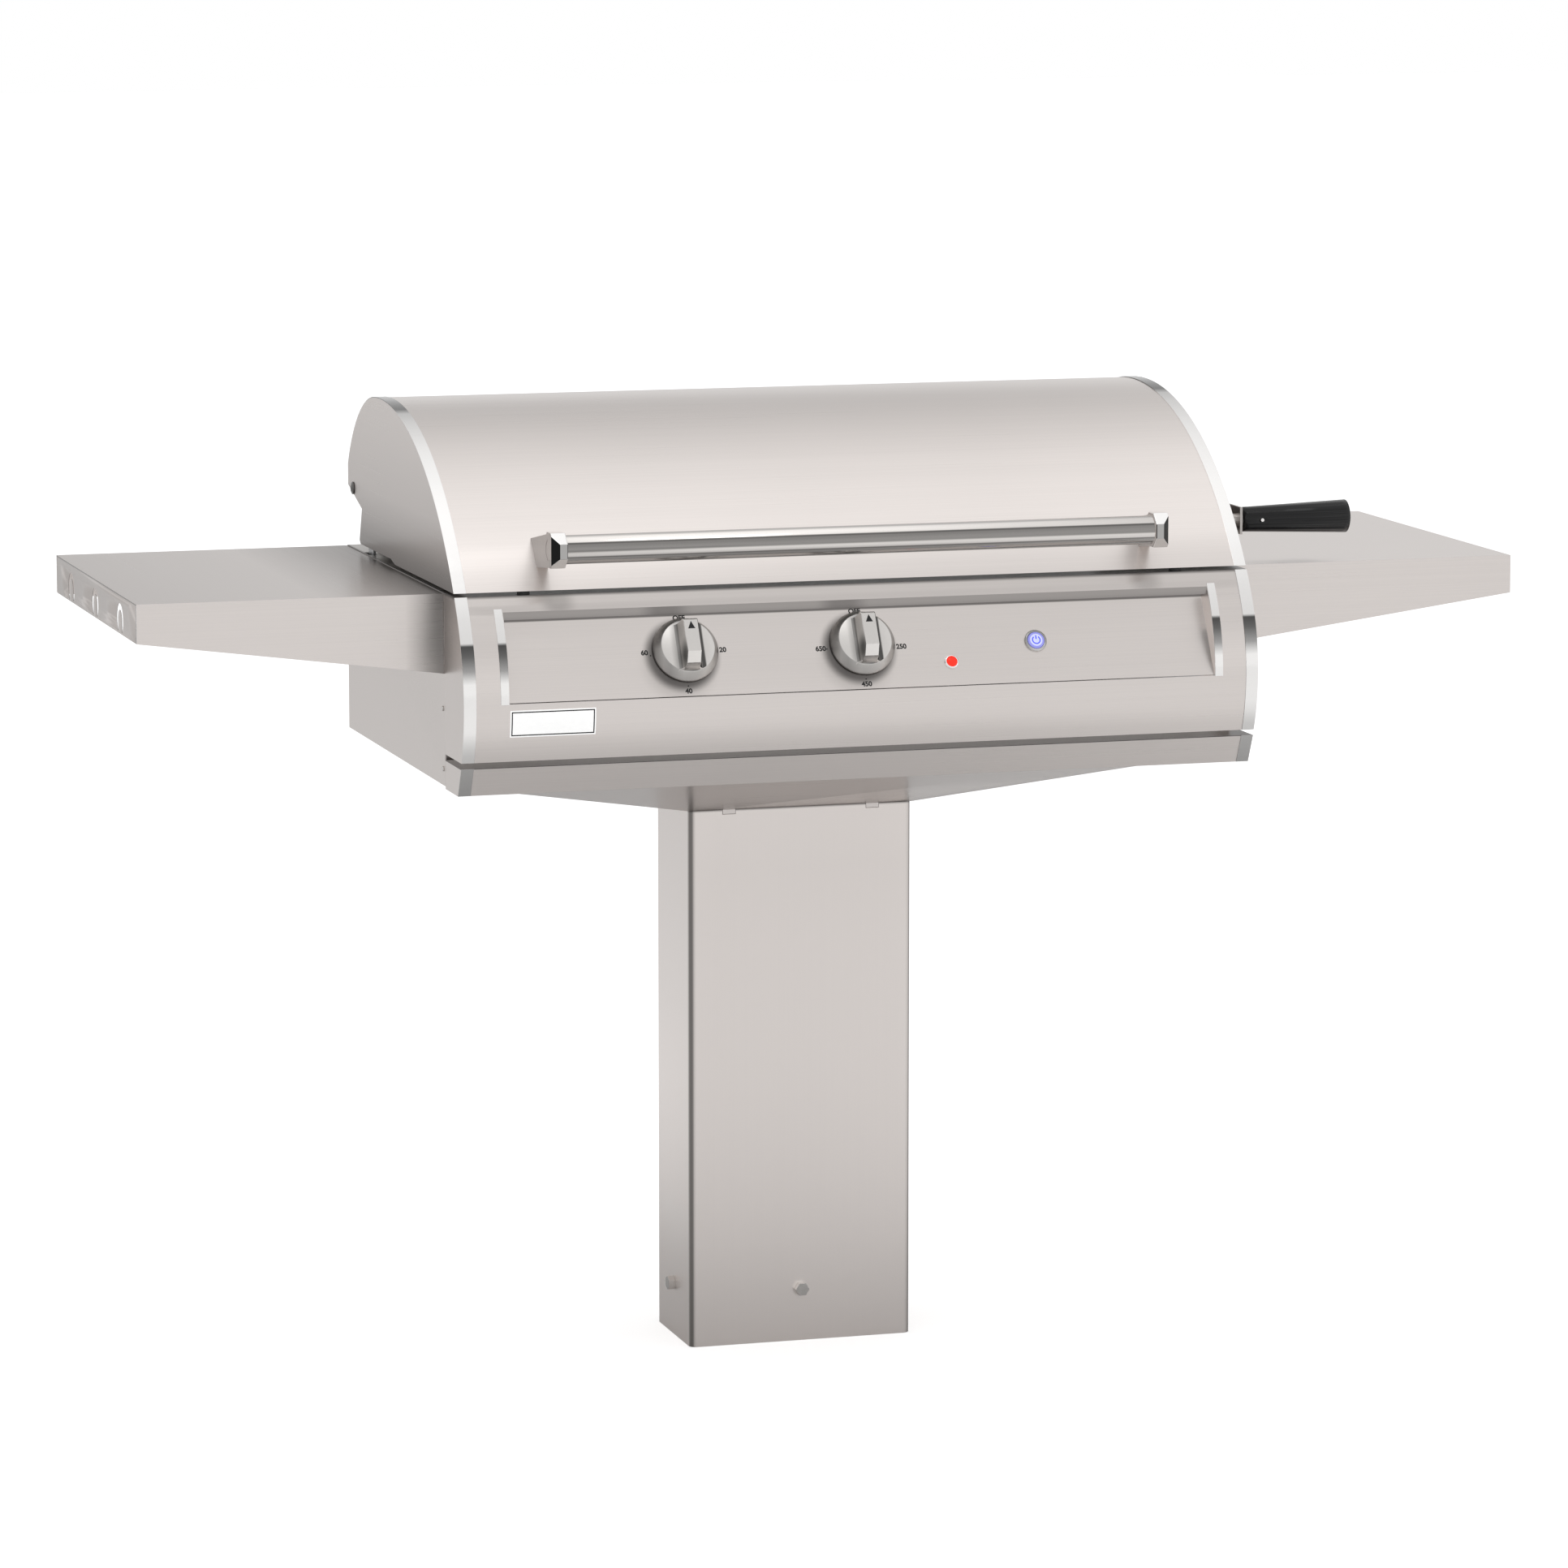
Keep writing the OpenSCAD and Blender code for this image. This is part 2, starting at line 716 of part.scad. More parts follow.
module post_bolts() {
  color("silver") on_post_faces() {
    cylinder(d = bolt_flats * hex, h = bolt_head, $fn = 6);
    translate([0, 0, -bolt_len]) cylinder(d = bolt_d, h = bolt_len);
  }
}

// Solid inside the hopper faces, lifted by a height
module hopper_solid(lift) {
  polyhedron(
    points = [
      [-post_w / 2, -post_d / 2, post_h + lift],
      [post_w / 2, -post_d / 2, post_h + lift],
      [post_w / 2, post_d / 2, post_h + lift],
      [-post_w / 2, post_d / 2, post_h + lift],
      [-half_w, -body_front, body_z + lift],
      [half_w, -body_front, body_z + lift],
      [half_w, body_back, body_z + lift],
      [-half_w, body_back, body_z + lift]
    ],
    faces = [
      [0, 1, 2, 3],
      [4, 5, 1, 0],
      [7, 6, 5, 4],
      [5, 6, 2, 1],
      [6, 7, 3, 2],
      [7, 4, 0, 3]
    ]
  );
}

// Distances of the flange behind the hopper edges
function flange_in_x() = flange_t * (half_w - post_w / 2) / hopper_h + flange_t / 2;
function flange_in_y() = flange_t * (body_front - post_d / 2) / hopper_h + flange_t / 2;

module on_flange() {
  for (i = [-1.5:1:1.5]) {
    translate([i * flange_pitch, flange_in_y() + flange_w / 2 - body_front, body_z]) children();
    translate([i * flange_pitch, body_back - flange_in_y() - flange_w / 2, body_z]) children();
  }
}

module support_hopper() {
  cw = post_w - 2 * post_wall - 2 * collar_gap;
  cd = post_d - 2 * post_wall - 2 * collar_gap;
  fx = half_w - flange_in_x();
  fy = body_front - flange_in_y();
  fb = body_back - flange_in_y();
  color("lightgray") difference() {
    union() {
      difference() {
        hopper_solid(0);
        hopper_solid(hopper_wall);
      }
      difference() {
        slab(-fx, fx, -fy, fb, body_z - flange_t, body_z);
        slab(-fx + flange_w, fx - flange_w, -fy + flange_w, fb - flange_w,
          body_z - 2 * flange_t, body_z + flange_t);
      }
      translate([0, 0, post_h - collar_h]) linear_extrude(height = collar_h + hopper_wall)
        rounded(cw, cd, post_corner);
      both_sides() slab(tab_x - tab_w / 2, tab_x + tab_w / 2, -post_d / 2,
        -post_d / 2 + post_wall, post_h - tab_h, post_h + hopper_wall);
    }
    translate([0, 0, post_h - 2 * collar_h]) linear_extrude(height = 2 * collar_h + 2 * hopper_wall)
      rounded(cw - 2 * collar_wall, cd - 2 * collar_wall, post_corner - collar_wall);
    on_flange() translate([0, 0, -2 * flange_t])
      cylinder(d = screw_d + 2 * seat_gap, h = 4 * flange_t);
  }
}

module hopper_screws() {
  color("silver") on_flange() {
    translate([0, 0, sheet]) cylinder(d = screw_head_d, h = screw_head_h);
    translate([0, 0, -flange_t - sheet]) cylinder(d = screw_d, h = flange_t + 2 * sheet);
  }
}

// Frames at the shelf bolts of the right side, Z outwards along X
module on_shelf_bolts(y) {
  for (i = [0, 1]) {
    translate([half_w, y, rim_z - shelf_bolt_drop - i * shelf_bolt_pitch]) rotate([0, 90, 0])
      children();
  }
}

// Frames at the two seam screws of the right side, Z outwards along X
module on_seam_screws() {
  for (z = [rim_z - seam_drop, ledge_top - ledge_h / 3]) {
    translate([half_w, seam_back - body_front, z]) rotate([0, 90, 0]) children();
  }
}

module bracket_slot() {
  slab(bracket_x - bracket_t - sheet, inner_half + sheet / 2, leg_y - leg_w - sheet, leg_y + sheet,
    rim_z - 3 * sheet, rim_z + sheet);
}

module body_shell() {
  color("lightgray") difference() {
    union() {
      difference() {
        slab(-half_w, half_w, -body_front, body_back, body_z, rim_z);
        slab(-inner_half, inner_half, wall_y + sheet, body_back - sheet, body_z + sheet,
          rim_z + sheet);
        slab(-inner_half, inner_half, -2 * body_front, wall_y, body_z + sheet, rim_z + sheet);
      }
      difference() {
        slab(-inner_half, inner_half, wall_y + sheet, body_back - sheet, rim_z - 2 * sheet,
          rim_z - sheet);
        slab(rim_w - half_w, half_w - rim_w, wall_y + sheet + rim_w / 4, body_back - rim_w,
          rim_z - 3 * sheet, rim_z);
      }
    }
    both_sides() {
      on_shelf_bolts(shelf_bolt_y) translate([0, 0, -2 * sheet])
        cylinder(d = shelf_bolt_d + 2 * seat_gap, h = 3 * sheet);
      on_shelf_bolts(-shelf_bolt_front) translate([0, 0, -2 * sheet])
        cylinder(d = shelf_bolt_d + 2 * seat_gap, h = 3 * sheet);
      on_seam_screws() translate([0, 0, -2 * sheet])
        cylinder(d = seam_d + 2 * seat_gap, h = 3 * sheet);
      bracket_slot();
    }
    on_flange() translate([0, 0, -sheet])
      cylinder(d = screw_d + 2 * seat_gap, h = 3 * sheet);
    translate([0, 0, body_z - sheet]) cylinder(d = gland_thread + 2 * seat_gap, h = 3 * sheet);
  }
}

module cooking_well() {
  in = well_half - liner_t;
  wf = liner_t - well_front;
  wb = well_back - liner_t;
  color("gray") difference() {
    union() {
      difference() {
        slab(-well_half, well_half, -well_front, well_back, well_z, rim_z);
        slab(-in, in, wf, wb, well_z + liner_t, rim_z + liner_t);
      }
      difference() {
        slab(seat_gap - inner_half, inner_half - seat_gap, wall_y + sheet + seat_gap,
          body_back - sheet - seat_gap, rim_z - sheet, rim_z);
        slab(-in, in, wf, wb, rim_z - 2 * sheet, rim_z + sheet);
      }
      slab(-in, in, wf, wf + rest_w, grate_z - liner_t, grate_z);
      slab(-in, in, wb - rest_w, wb, grate_z - liner_t, grate_z);
    }
    both_sides() bracket_slot();
    for (s = [-1, 1]) {
      translate([-well_half - liner_t, s * 3 * heat_r, heat_z]) rotate([0, 90, 0])
        cylinder(d = heat_d + 4 * seat_gap, h = 3 * liner_t);
    }
  }
}

module back_riser() {
  color("gray") {
    slab(-riser_half, riser_half, riser_y, riser_y + sheet, rim_z, rim_z + riser_h);
    slab(-riser_half, riser_half, riser_y, riser_y + riser_foot, rim_z, rim_z + sheet);
  }
}

module hinge_brackets() {
  elbow_z = pivot_z - elbow_drop;
  foot_z = rim_z - foot_drop;
  color("silver") both_sides() difference() {
    union() {
      along_x(bracket_x - bracket_t, bracket_x) {
        translate([pivot_y, pivot_z]) circle(r = bracket_r);
        polygon([
          [pivot_y, pivot_z - bracket_r],
          [pivot_y, pivot_z + bracket_r],
          [leg_y - leg_w, elbow_z + bracket_r],
          [leg_y - leg_w, elbow_z - bracket_r]
        ]);
        window(leg_y - leg_w, leg_y, foot_z, elbow_z);
      }
      slab(bracket_x - bracket_t, inner_half, leg_y - leg_w, leg_y, foot_z, foot_z + foot_tall);
    }
    translate([0, pivot_y, pivot_z]) rotate([0, 90, 0]) cylinder(d = pin_d + 2 * run_gap, h = body_w);
    on_shelf_bolts(shelf_bolt_y) translate([0, 0, -4 * bracket_in])
      cylinder(d = shelf_bolt_d + 2 * seat_gap, h = 4 * bracket_in);
  }
}

module on_pivot(x) {
  translate([x, pivot_y, pivot_z]) rotate([0, 90, 0]) children();
}

module hinge_bolts() {
  nut_x = bracket_x - bracket_t - shelf_nut_h;
  color("silver") both_sides() {
    on_pivot(half_w + seat_gap) intersection() {
      cylinder(d = pin_head_d, h = pin_head_h);
      translate([0, 0, pin_head_h - pin_head_d]) sphere(r = pin_head_d);
    }
    on_pivot(nut_x) cylinder(d = pin_d, h = half_w + seat_gap - nut_x);
  }
}

module hinge_spacers() {
  color("silver") both_sides() on_pivot(bracket_x) difference() {
    cylinder(d = 2 * pin_d, h = inner_half - seat_gap - bracket_x);
    translate([0, 0, -sheet]) cylinder(d = pin_d + 2 * run_gap, h = 2 * bracket_in);
  }
}

module hinge_nuts() {
  color("silver") both_sides() on_pivot(bracket_x - bracket_t - shelf_nut_h) difference() {
    cylinder(d = 3 * pin_d / 2 * hex, h = shelf_nut_h, $fn = 6);
    translate([0, 0, -sheet]) cylinder(d = pin_d + 2 * run_gap, h = 2 * shelf_nut_h);
  }
}

module drip_tray() {
  x = well_half - liner_t - tray_gap;
  y0 = liner_t - well_front + tray_gap;
  y1 = well_back - liner_t - tray_gap;
  z = well_z + liner_t;
  color("dimgray") difference() {
    slab(-x, x, y0, y1, z, z + tray_h);
    slab(liner_t - x, x - liner_t, y0 + liner_t, y1 - liner_t, z + liner_t, z + 2 * tray_h);
  }
}

module heat_run(y, x0, x1) {
  translate([x0, y, heat_z]) rotate([0, 90, 0]) cylinder(d = heat_d, h = x1 - x0);
}

module heat_bend(x, y, turn) {
  translate([x, y, heat_z]) rotate([0, 0, turn]) rotate_extrude(angle = 180)
    translate([heat_r, 0]) circle(d = heat_d);
}

module heating_element() {
  tip = -terminal_x - terminal_len / 2;
  color("dimgray") {
    heat_run(-3 * heat_r, tip, heat_half);
    heat_run(-heat_r, -heat_half, heat_half);
    heat_run(heat_r, -heat_half, heat_half);
    heat_run(3 * heat_r, tip, heat_half);
    heat_bend(heat_half, -2 * heat_r, -90);
    heat_bend(-heat_half, 0, 90);
    heat_bend(heat_half, 2 * heat_r, -90);
  }
}

module element_supports() {
  top = heat_z - heat_d / 2 - seat_gap;
  color("silver") both_sides() slab(support_x, support_x + support_t, liner_t - well_front,
    well_back - liner_t, top - support_h, top);
}

module terminal_blocks() {
  color("white") for (s = [-1, 1]) {
    difference() {
      slab(-inner_half, -terminal_x, s * 3 * heat_r - terminal_w / 2,
        s * 3 * heat_r + terminal_w / 2, heat_z - terminal_w / 2, heat_z + terminal_w / 2);
      translate([-terminal_x - terminal_len / 2, s * 3 * heat_r, heat_z]) rotate([0, 90, 0])
        cylinder(d = heat_d + 2 * run_gap, h = terminal_len);
    }
  }
}

module thermostat_probe() {
  color("silver") translate([-probe_half, liner_t - well_front + probe_d / 2 + seat_gap,
    rim_z - probe_drop]) rotate([0, 90, 0]) cylinder(d = probe_d, h = 2 * probe_half);
}

// Grate of the right half
module grate() {
  w = well_half - liner_t - 2 * grate_gap;
  y0 = liner_t - well_front + grate_gap;
  y1 = well_back - liner_t - grate_gap;
  half = (y1 - y0 - 3 * grate_frame) / 2;
  pitch = (w - 2 * grate_frame + grate_bar) / grate_bars;
  difference() {
    slab(grate_gap, grate_gap + w, y0, y1, grate_z, grate_z + grate_t);
    for (i = [0:grate_bars - 1], j = [0, 1]) {
      translate([grate_gap + grate_frame + i * pitch, y0 + grate_frame + j * (half + grate_frame),
        grate_z - grate_t]) cube([pitch - grate_bar, half, 3 * grate_t]);
    }
  }
}

module grate_left() {
  color("dimgray") mirror([1, 0, 0]) grate();
}

module grate_right() {
  color("dimgray") grate();
}

// Outline of the ledge from the side, moved inwards by t
module ledge_outline(t) {
  slope = (ledge_front - ledge_foot) / ledge_h;
  polygon([
    [t - ledge_foot - slope * t, ledge_low + t],
    [t - ledge_front + slope * t, ledge_top - t],
    [t - body_front, ledge_top - t],
    [t - body_front, ledge_low + t]
  ]);
}

module fixing_tab(z) {
  slab(inner_half - sheet, inner_half, -body_front + tab_len / 2 - tab_len,
    -body_front + tab_len / 2, z - tab_tall / 2, z + tab_tall / 2);
}

module front_ledge() {
  end_y = -body_front - seat_gap;
  tab_z = ledge_top - ledge_h / 3;
  color("lightgray") difference() {
    union() {
      difference() {
        along_x(-half_w, half_w) intersection() {
          ledge_outline(0);
          window(-reach, end_y, 0, reach);
        }
        along_x(-inner_half, inner_half) ledge_outline(sheet);
      }
      both_sides() fixing_tab(tab_z - tab_tall / 8);
    }
    both_sides() on_seam_screws() translate([0, 0, -4 * sheet])
      cylinder(d = seam_d + 2 * run_gap, h = 4 * sheet);
  }
}

module ledge_strips() {
  color("white") both_sides() along_x(half_w - trim_w, half_w) polygon([
    [-ledge_foot, ledge_low],
    [-ledge_front, ledge_top],
    [-ledge_front - trim_t, ledge_top],
    [-ledge_foot - trim_t, ledge_low]
  ]);
}

module seam_screws() {
  color("silver") both_sides() on_seam_screws() {
    cylinder(d = 2 * seam_d, h = seam_d / 2);
    translate([0, 0, -2 * seam_d]) cylinder(d = seam_d, h = 2 * seam_d);
  }
}

module fascia_shell() {
  top_end = wall_y - seat_gap;
  shelf_y = curve_y(band_z, 0) + fascia_lip;
  color("lightgray") difference() {
    union() {
      difference() {
        along_x(-half_w, half_w) intersection() {
          difference() {
            curve(0);
            curve(sheet);
          }
          window(-reach, -body_front, fascia_z, rim_z);
        }
        slab(-recess_half, recess_half, -reach, -body_front, band_z, crease_z);
      }
      along_x(-recess_half - sheet, recess_half + sheet) {
        window(crease_y, crease_y + sheet, lip_z, crease_z);
        window(crease_y, panel_at((lip_z - band_z) / cos(panel_tilt))[0] + 2 * sheet, lip_z,
          lip_z + sheet);
        intersection() {
          curve(0);
          window(-reach, shelf_y, band_z - sheet, band_z);
        }
      }
      along_x(seat_gap - inner_half, inner_half - seat_gap) intersection() {
        curve(0);
        window(-reach, top_end, rim_z - sheet, rim_z);
      }
      along_x(-inner_half, inner_half) intersection() {
        curve(0);
        window(-reach, curve_y(fascia_z, 0) + fascia_lip, fascia_z, fascia_z + sheet);
      }
      both_sides() {
        along_x(inner_half, half_w) intersection() {
          curve(0);
          window(-reach, -body_front - seat_gap, fascia_z, rim_z);
        }
        along_x(recess_half, recess_half + sheet) intersection() {
          curve(0);
          window(-reach, shelf_y + fascia_lip, band_z - sheet, crease_z);
        }
        fixing_tab(rim_z - seam_drop);
      }
    }
    both_sides() on_seam_screws() translate([0, 0, -4 * sheet])
      cylinder(d = seam_d + 2 * run_gap, h = 4 * sheet);
  }
}

module control_panel() {
  low = panel_at((panel_low - band_z) / cos(panel_tilt))[0];
  high = panel_at((lip_z - band_z) / cos(panel_tilt))[0];
  color("lightgray") difference() {
    along_x(-recess_half, recess_half) polygon([
      [low, panel_low],
      [high, lip_z],
      [high + panel_back, lip_z],
      [low + panel_back, panel_low]
    ]);
    for (x = [timer_x, temp_x]) {
      on_panel(x, knob_v) translate([0, 0, -2 * sheet])
        cylinder(d = shaft_d + 4 * knob_gap, h = 4 * sheet);
    }
    on_panel(power_x, power_v) translate([0, 0, -2 * sheet])
      cylinder(d = barrel_d + 2 * seat_gap, h = 4 * sheet);
    on_panel(lamp_x, lamp_v) translate([0, 0, -2 * sheet])
      cylinder(d = lens_d + 2 * seat_gap, h = 4 * sheet);
  }
}

module recess_strips() {
  color("white") both_sides() along_x(recess_half + strip_t, recess_half + strip_t + strip_w)
    intersection() {
      difference() {
        curve(-strip_t);
        curve(0);
      }
      window(-reach, -body_front, band_z - strip_over / 4, crease_z + strip_over);
    }
}

module fascia_trims() {
  color("white") both_sides() along_x(half_w - trim_w, half_w) intersection() {
    difference() {
      curve(-trim_t);
      curve(0);
    }
    window(-reach, -body_front, fascia_z, rim_z);
  }
}

module heat_shield() {
  back = wall_y;
  front = wall_y - shield_gap;
  top = rim_z - shield_drop;
  color("silver") {
    slab(-shield_half, shield_half, front, front + sheet, top - shield_h, top);
    slab(-shield_half, shield_half, front, back, top - sheet, top);
    slab(-shield_half, shield_half, front, back, top - shield_h, top - shield_h + sheet);
  }
}

module control_body(x) {
  on_panel(x, knob_v) difference() {
    translate([0, 0, -sheet - ctrl_h / 2]) cube([ctrl_w, ctrl_w, ctrl_h], center = true);
    translate([0, 0, -sheet - shaft_down]) cylinder(d = shaft_d + 2 * run_gap, h = 2 * shaft_down);
  }
}

module control_shaft(x) {
  on_panel(x, knob_v) translate([0, 0, -sheet - shaft_down])
    cylinder(d = shaft_d, h = shaft_down + sheet + shaft_up);
}

// Knob with a conical skirt, a raised bar and a sloped foot on both sides of the bar
module knob(x) {
  end = skirt_d / 2;
  on_panel(x, knob_v) difference() {
    union() {
      translate([0, 0, knob_gap]) cylinder(d1 = knob_d, d2 = skirt_d, h = skirt_h - knob_gap);
      translate([0, 0, skirt_h]) cylinder(d1 = skirt_d, d2 = face_d, h = face_h - skirt_h);
      intersection() {
        translate([0, 0, skirt_h / 2]) cylinder(d = skirt_d, h = bar_h);
        union() {
          translate([-bar_w / 2, 0, 0]) rotate([90, 0, 90]) linear_extrude(height = bar_w) polygon([
            [-end, skirt_h / 2],
            [-end, bar_h - bar_chamfer],
            [-bar_top, bar_h],
            [bar_top, bar_h],
            [end, bar_h - bar_chamfer],
            [end, skirt_h / 2]
          ]);
          translate([0, bar_top, 0]) rotate([90, 0, 0]) linear_extrude(height = 2 * bar_top) polygon([
            [-bar_foot / 2, face_h],
            [-bar_w / 2, face_h + foot_h],
            [bar_w / 2, face_h + foot_h],
            [bar_foot / 2, face_h]
          ]);
        }
      }
    }
    translate([0, 0, -skirt_h]) cylinder(d = shaft_d + 2 * run_gap, h = skirt_h + shaft_up);
  }
}

module timer_body() {
  color("dimgray") control_body(timer_x);
}

module timer_shaft() {
  color("silver") control_shaft(timer_x);
}

module timer_knob() {
  color("lightgray") knob(timer_x);
}

module thermostat_body() {
  color("dimgray") control_body(temp_x);
}

module thermostat_shaft() {
  color("silver") control_shaft(temp_x);
}

module temperature_knob() {
  color("lightgray") knob(temp_x);
}

module power_bezel() {
  color("silver") on_panel(power_x, power_v) difference() {
    union() {
      cylinder(d = bezel_d, h = bezel_h);
      translate([0, 0, -barrel_h]) cylinder(d = barrel_d, h = barrel_h);
    }
    translate([0, 0, -2 * barrel_h]) cylinder(d = button_d + 2 * run_gap, h = 3 * barrel_h);
  }
}

module power_button() {
  color("silver") on_panel(power_x, power_v) {
    translate([0, 0, -button_down]) cylinder(d = button_d, h = button_down + button_up);
    translate([0, 0, 2 * button_stroke - barrel_h])
      cylinder(d = stem_d, h = barrel_h - button_down - button_stroke);
  }
}

module power_switch() {
  color("dimgray") on_panel(power_x, power_v) translate([0, 0, -barrel_h - switch_h])
    cylinder(d = barrel_d, h = switch_h);
}

module lamp_bezel() {
  color("silver") on_panel(lamp_x, lamp_v) difference() {
    cylinder(d1 = lamp_d, d2 = lamp_d - lamp_h, h = lamp_h);
    translate([0, 0, -lamp_h]) cylinder(d = lens_d + 2 * run_gap, h = 3 * lamp_h);
  }
}

module lamp_lens() {
  dome_r = (pow(lens_d / 2, 2) + pow(dome_h, 2)) / (2 * dome_h);
  color("red") on_panel(lamp_x, lamp_v) {
    translate([0, 0, -lamp_down]) cylinder(d = lens_d, h = lamp_down + lamp_h);
    intersection() {
      translate([0, 0, lamp_h]) cylinder(d = lens_d, h = 2 * dome_h);
      translate([0, 0, lamp_h + dome_h - dome_r]) sphere(r = dome_r);
    }
  }
}

module nameplate() {
  top = rim_z - plate_drop;
  left = plate_in - recess_half;
  color("white") along_x(left, left + plate_w) intersection() {
    difference() {
      curve(-plate_t);
      curve(0);
    }
    window(-reach, -body_front, top - plate_h, top);
  }
}

module hood_skin() {
  color("lightgray") difference() {
    along_x(-inner_half, inner_half) intersection() {
      difference() {
        hood_outline(0);
        hood_outline(sheet);
      }
      skin_zone();
    }
    handle_ends() on_arm_screws() translate([0, 0, -2 * sheet])
      cylinder(d = screw_d + 2 * seat_gap, h = 3 * sheet);
  }
}

// Side panel of the right side without the hinge hole
module hood_side() {
  difference() {
    along_x(inner_half, half_w) intersection() {
      hood_outline(0);
      hood_zone();
    }
    on_pivot(inner_half - sheet) cylinder(d = pin_d + 2 * run_gap, h = 3 * sheet);
  }
}

module hood_side_left() {
  color("lightgray") mirror([1, 0, 0]) hood_side();
}

module hood_side_right() {
  color("lightgray") difference() {
    hood_side();
    on_side_screws() translate([0, 0, -2 * sheet])
      cylinder(d = screw_d + 2 * run_gap, h = 3 * sheet);
  }
}

// Flange between the liner and the hood skin, inside a given window
module liner_flange() {
  difference() {
    intersection() {
      hood_outline(sheet);
      children();
    }
    hood_outline(liner_in + liner_t);
  }
}

module hood_liner() {
  x = half_w - liner_side;
  color("gray") {
    along_x(-x, x) intersection() {
      difference() {
        hood_outline(liner_in);
        hood_outline(liner_in + liner_t);
      }
      skin_zone();
    }
    both_sides() {
      along_x(x - liner_t, x) intersection() {
        hood_outline(liner_in);
        hood_zone();
      }
      along_x(x - liner_t, inner_half) intersection() {
        hood_outline(liner_in);
        window(-reach, side_flange_back, hood_z + side_lift, hood_z + side_lift + sheet);
      }
    }
    along_x(-inner_half, inner_half) liner_flange() window(-reach, 0, hood_z, hood_z + sheet);
    along_x(bracket_t + seat_gap - bracket_x, bracket_x - bracket_t - seat_gap) liner_flange()
      window(notch_foot_y, reach, hood_z + rear_lift, hood_z + rear_lift + sheet);
  }
}

module hood_trims() {
  color("white") both_sides() along_x(half_w - trim_w, half_w) intersection() {
    difference() {
      hood_outline(-trim_t);
      hood_outline(0);
    }
    skin_zone();
  }
}

module hood_bumpers() {
  color("dimgray") both_sides() translate([bumper_x, curve_y(hood_z, 0) + bumper_in, rim_z])
    cylinder(d = bumper_d, h = hood_gap);
}

module on_handle_axis(x) {
  translate([x, -handle_y, handle_z]) rotate([0, 90, 0]) children();
}

// Right end of the handle and its mirror image, about the handle's middle
module handle_ends() {
  translate([handle_shift, 0, 0]) both_sides() children();
}

module handle_tube() {
  color("silver") on_handle_axis(handle_shift - handle_half) difference() {
    cylinder(d = handle_d, h = 2 * handle_half);
    translate([0, 0, -handle_wall])
      cylinder(d = handle_d - 2 * handle_wall, h = 2 * handle_half + 2 * handle_wall);
  }
}

module block_outline(flats) {
  rotate(22.5) circle(d = flats * octagon, $fn = 8);
}

module end_block() {
  on_handle_axis(handle_half) linear_extrude(height = block_len - block_chamfer)
    block_outline(block_flats);
  on_handle_axis(handle_half + block_len - block_chamfer) rotate([0, 0, 22.5])
    cylinder(d1 = block_flats * octagon, d2 = (block_flats - 2 * block_chamfer) * octagon,
      h = block_chamfer, $fn = 8);
}

module handle_blocks() {
  color("white") handle_ends() {
    end_block();
    on_handle_axis(handle_half - spigot_len)
      cylinder(d = handle_d - 2 * handle_wall - 2 * run_gap, h = spigot_len);
  }
}

// Frames at the two screws of the right arm, Z outwards along the curve normal
module on_arm_screws() {
  for (s = [-1, 1]) {
    translate([handle_half + block_len - arm_t / 2, root_y, root_z]) rotate([root_turn - 90, 0, 0])
      translate([0, s * arm_screw_gap / 2, 0]) children();
  }
}

module handle_arms() {
  arm_in = handle_half + block_len - arm_t;
  end_y = -handle_y - (block_flats / 2 - block_chamfer) * tan(22.5);
  color("lightgray") handle_ends() difference() {
    along_x(arm_in, arm_in + arm_t) difference() {
      polygon([
        [end_y, handle_z + arm_front_h / 2],
        [end_y, handle_z - arm_front_h / 2],
        [root_y + arm_root_h / 2, root_z - arm_root_h / 2],
        [root_y + arm_root_h / 2, root_z + arm_root_h / 2]
      ]);
      curve(0);
    }
    end_block();
    on_arm_screws() translate([0, 0, -sheet])
      cylinder(d = screw_d + 2 * run_gap, h = sheet + arm_t + screw_d);
  }
}

module handle_screws() {
  color("silver") handle_ends() on_arm_screws() {
    translate([0, 0, -sheet - screw_head_h - seat_gap]) cylinder(d = screw_head_d, h = screw_head_h);
    translate([0, 0, -sheet - screw_head_h]) cylinder(d = screw_d, h = screw_head_h + sheet + arm_t);
  }
}

// Frames at the screws of the side handle foot, Z outwards along X
module on_side_screws() {
  for (s = [-1, 1]) {
    translate([half_w, side_arm_w + side_foot / 2 - side_arm_front + side_arm_t,
      grip_z + s * side_arm_h / 4]) rotate([0, 90, 0]) children();
  }
}

module side_handle_arm() {
  x0 = half_w + side_arm_off;
  y0 = -side_arm_front;
  y1 = y0 + side_arm_w;
  z0 = grip_z - side_arm_h / 2;
  z1 = grip_z + side_arm_h / 2;
  color("lightgray") difference() {
    union() {
      slab(x0, x0 + side_arm_t, y0, y1, z0, z1);
      slab(half_w, x0 + side_arm_t, y1, y1 + side_arm_t, z0, z1);
      slab(half_w, half_w + side_arm_t, y1, y1 + side_arm_t + side_foot, z0, z1);
    }
    translate([x0 - side_arm_t, -grip_y, grip_z]) rotate([0, 90, 0])
      cylinder(d = rod_d + 2 * run_gap, h = 3 * side_arm_t);
    on_side_screws() cylinder(d = screw_d + 2 * seat_gap, h = 3 * side_arm_t);
    slab(x0 - side_arm_t, x0 + 2 * side_arm_t, y1 - side_arm_w / 4, y1 - side_arm_w / 8,
      grip_z - side_arm_h / 8, grip_z + side_arm_h / 8);
  }
}

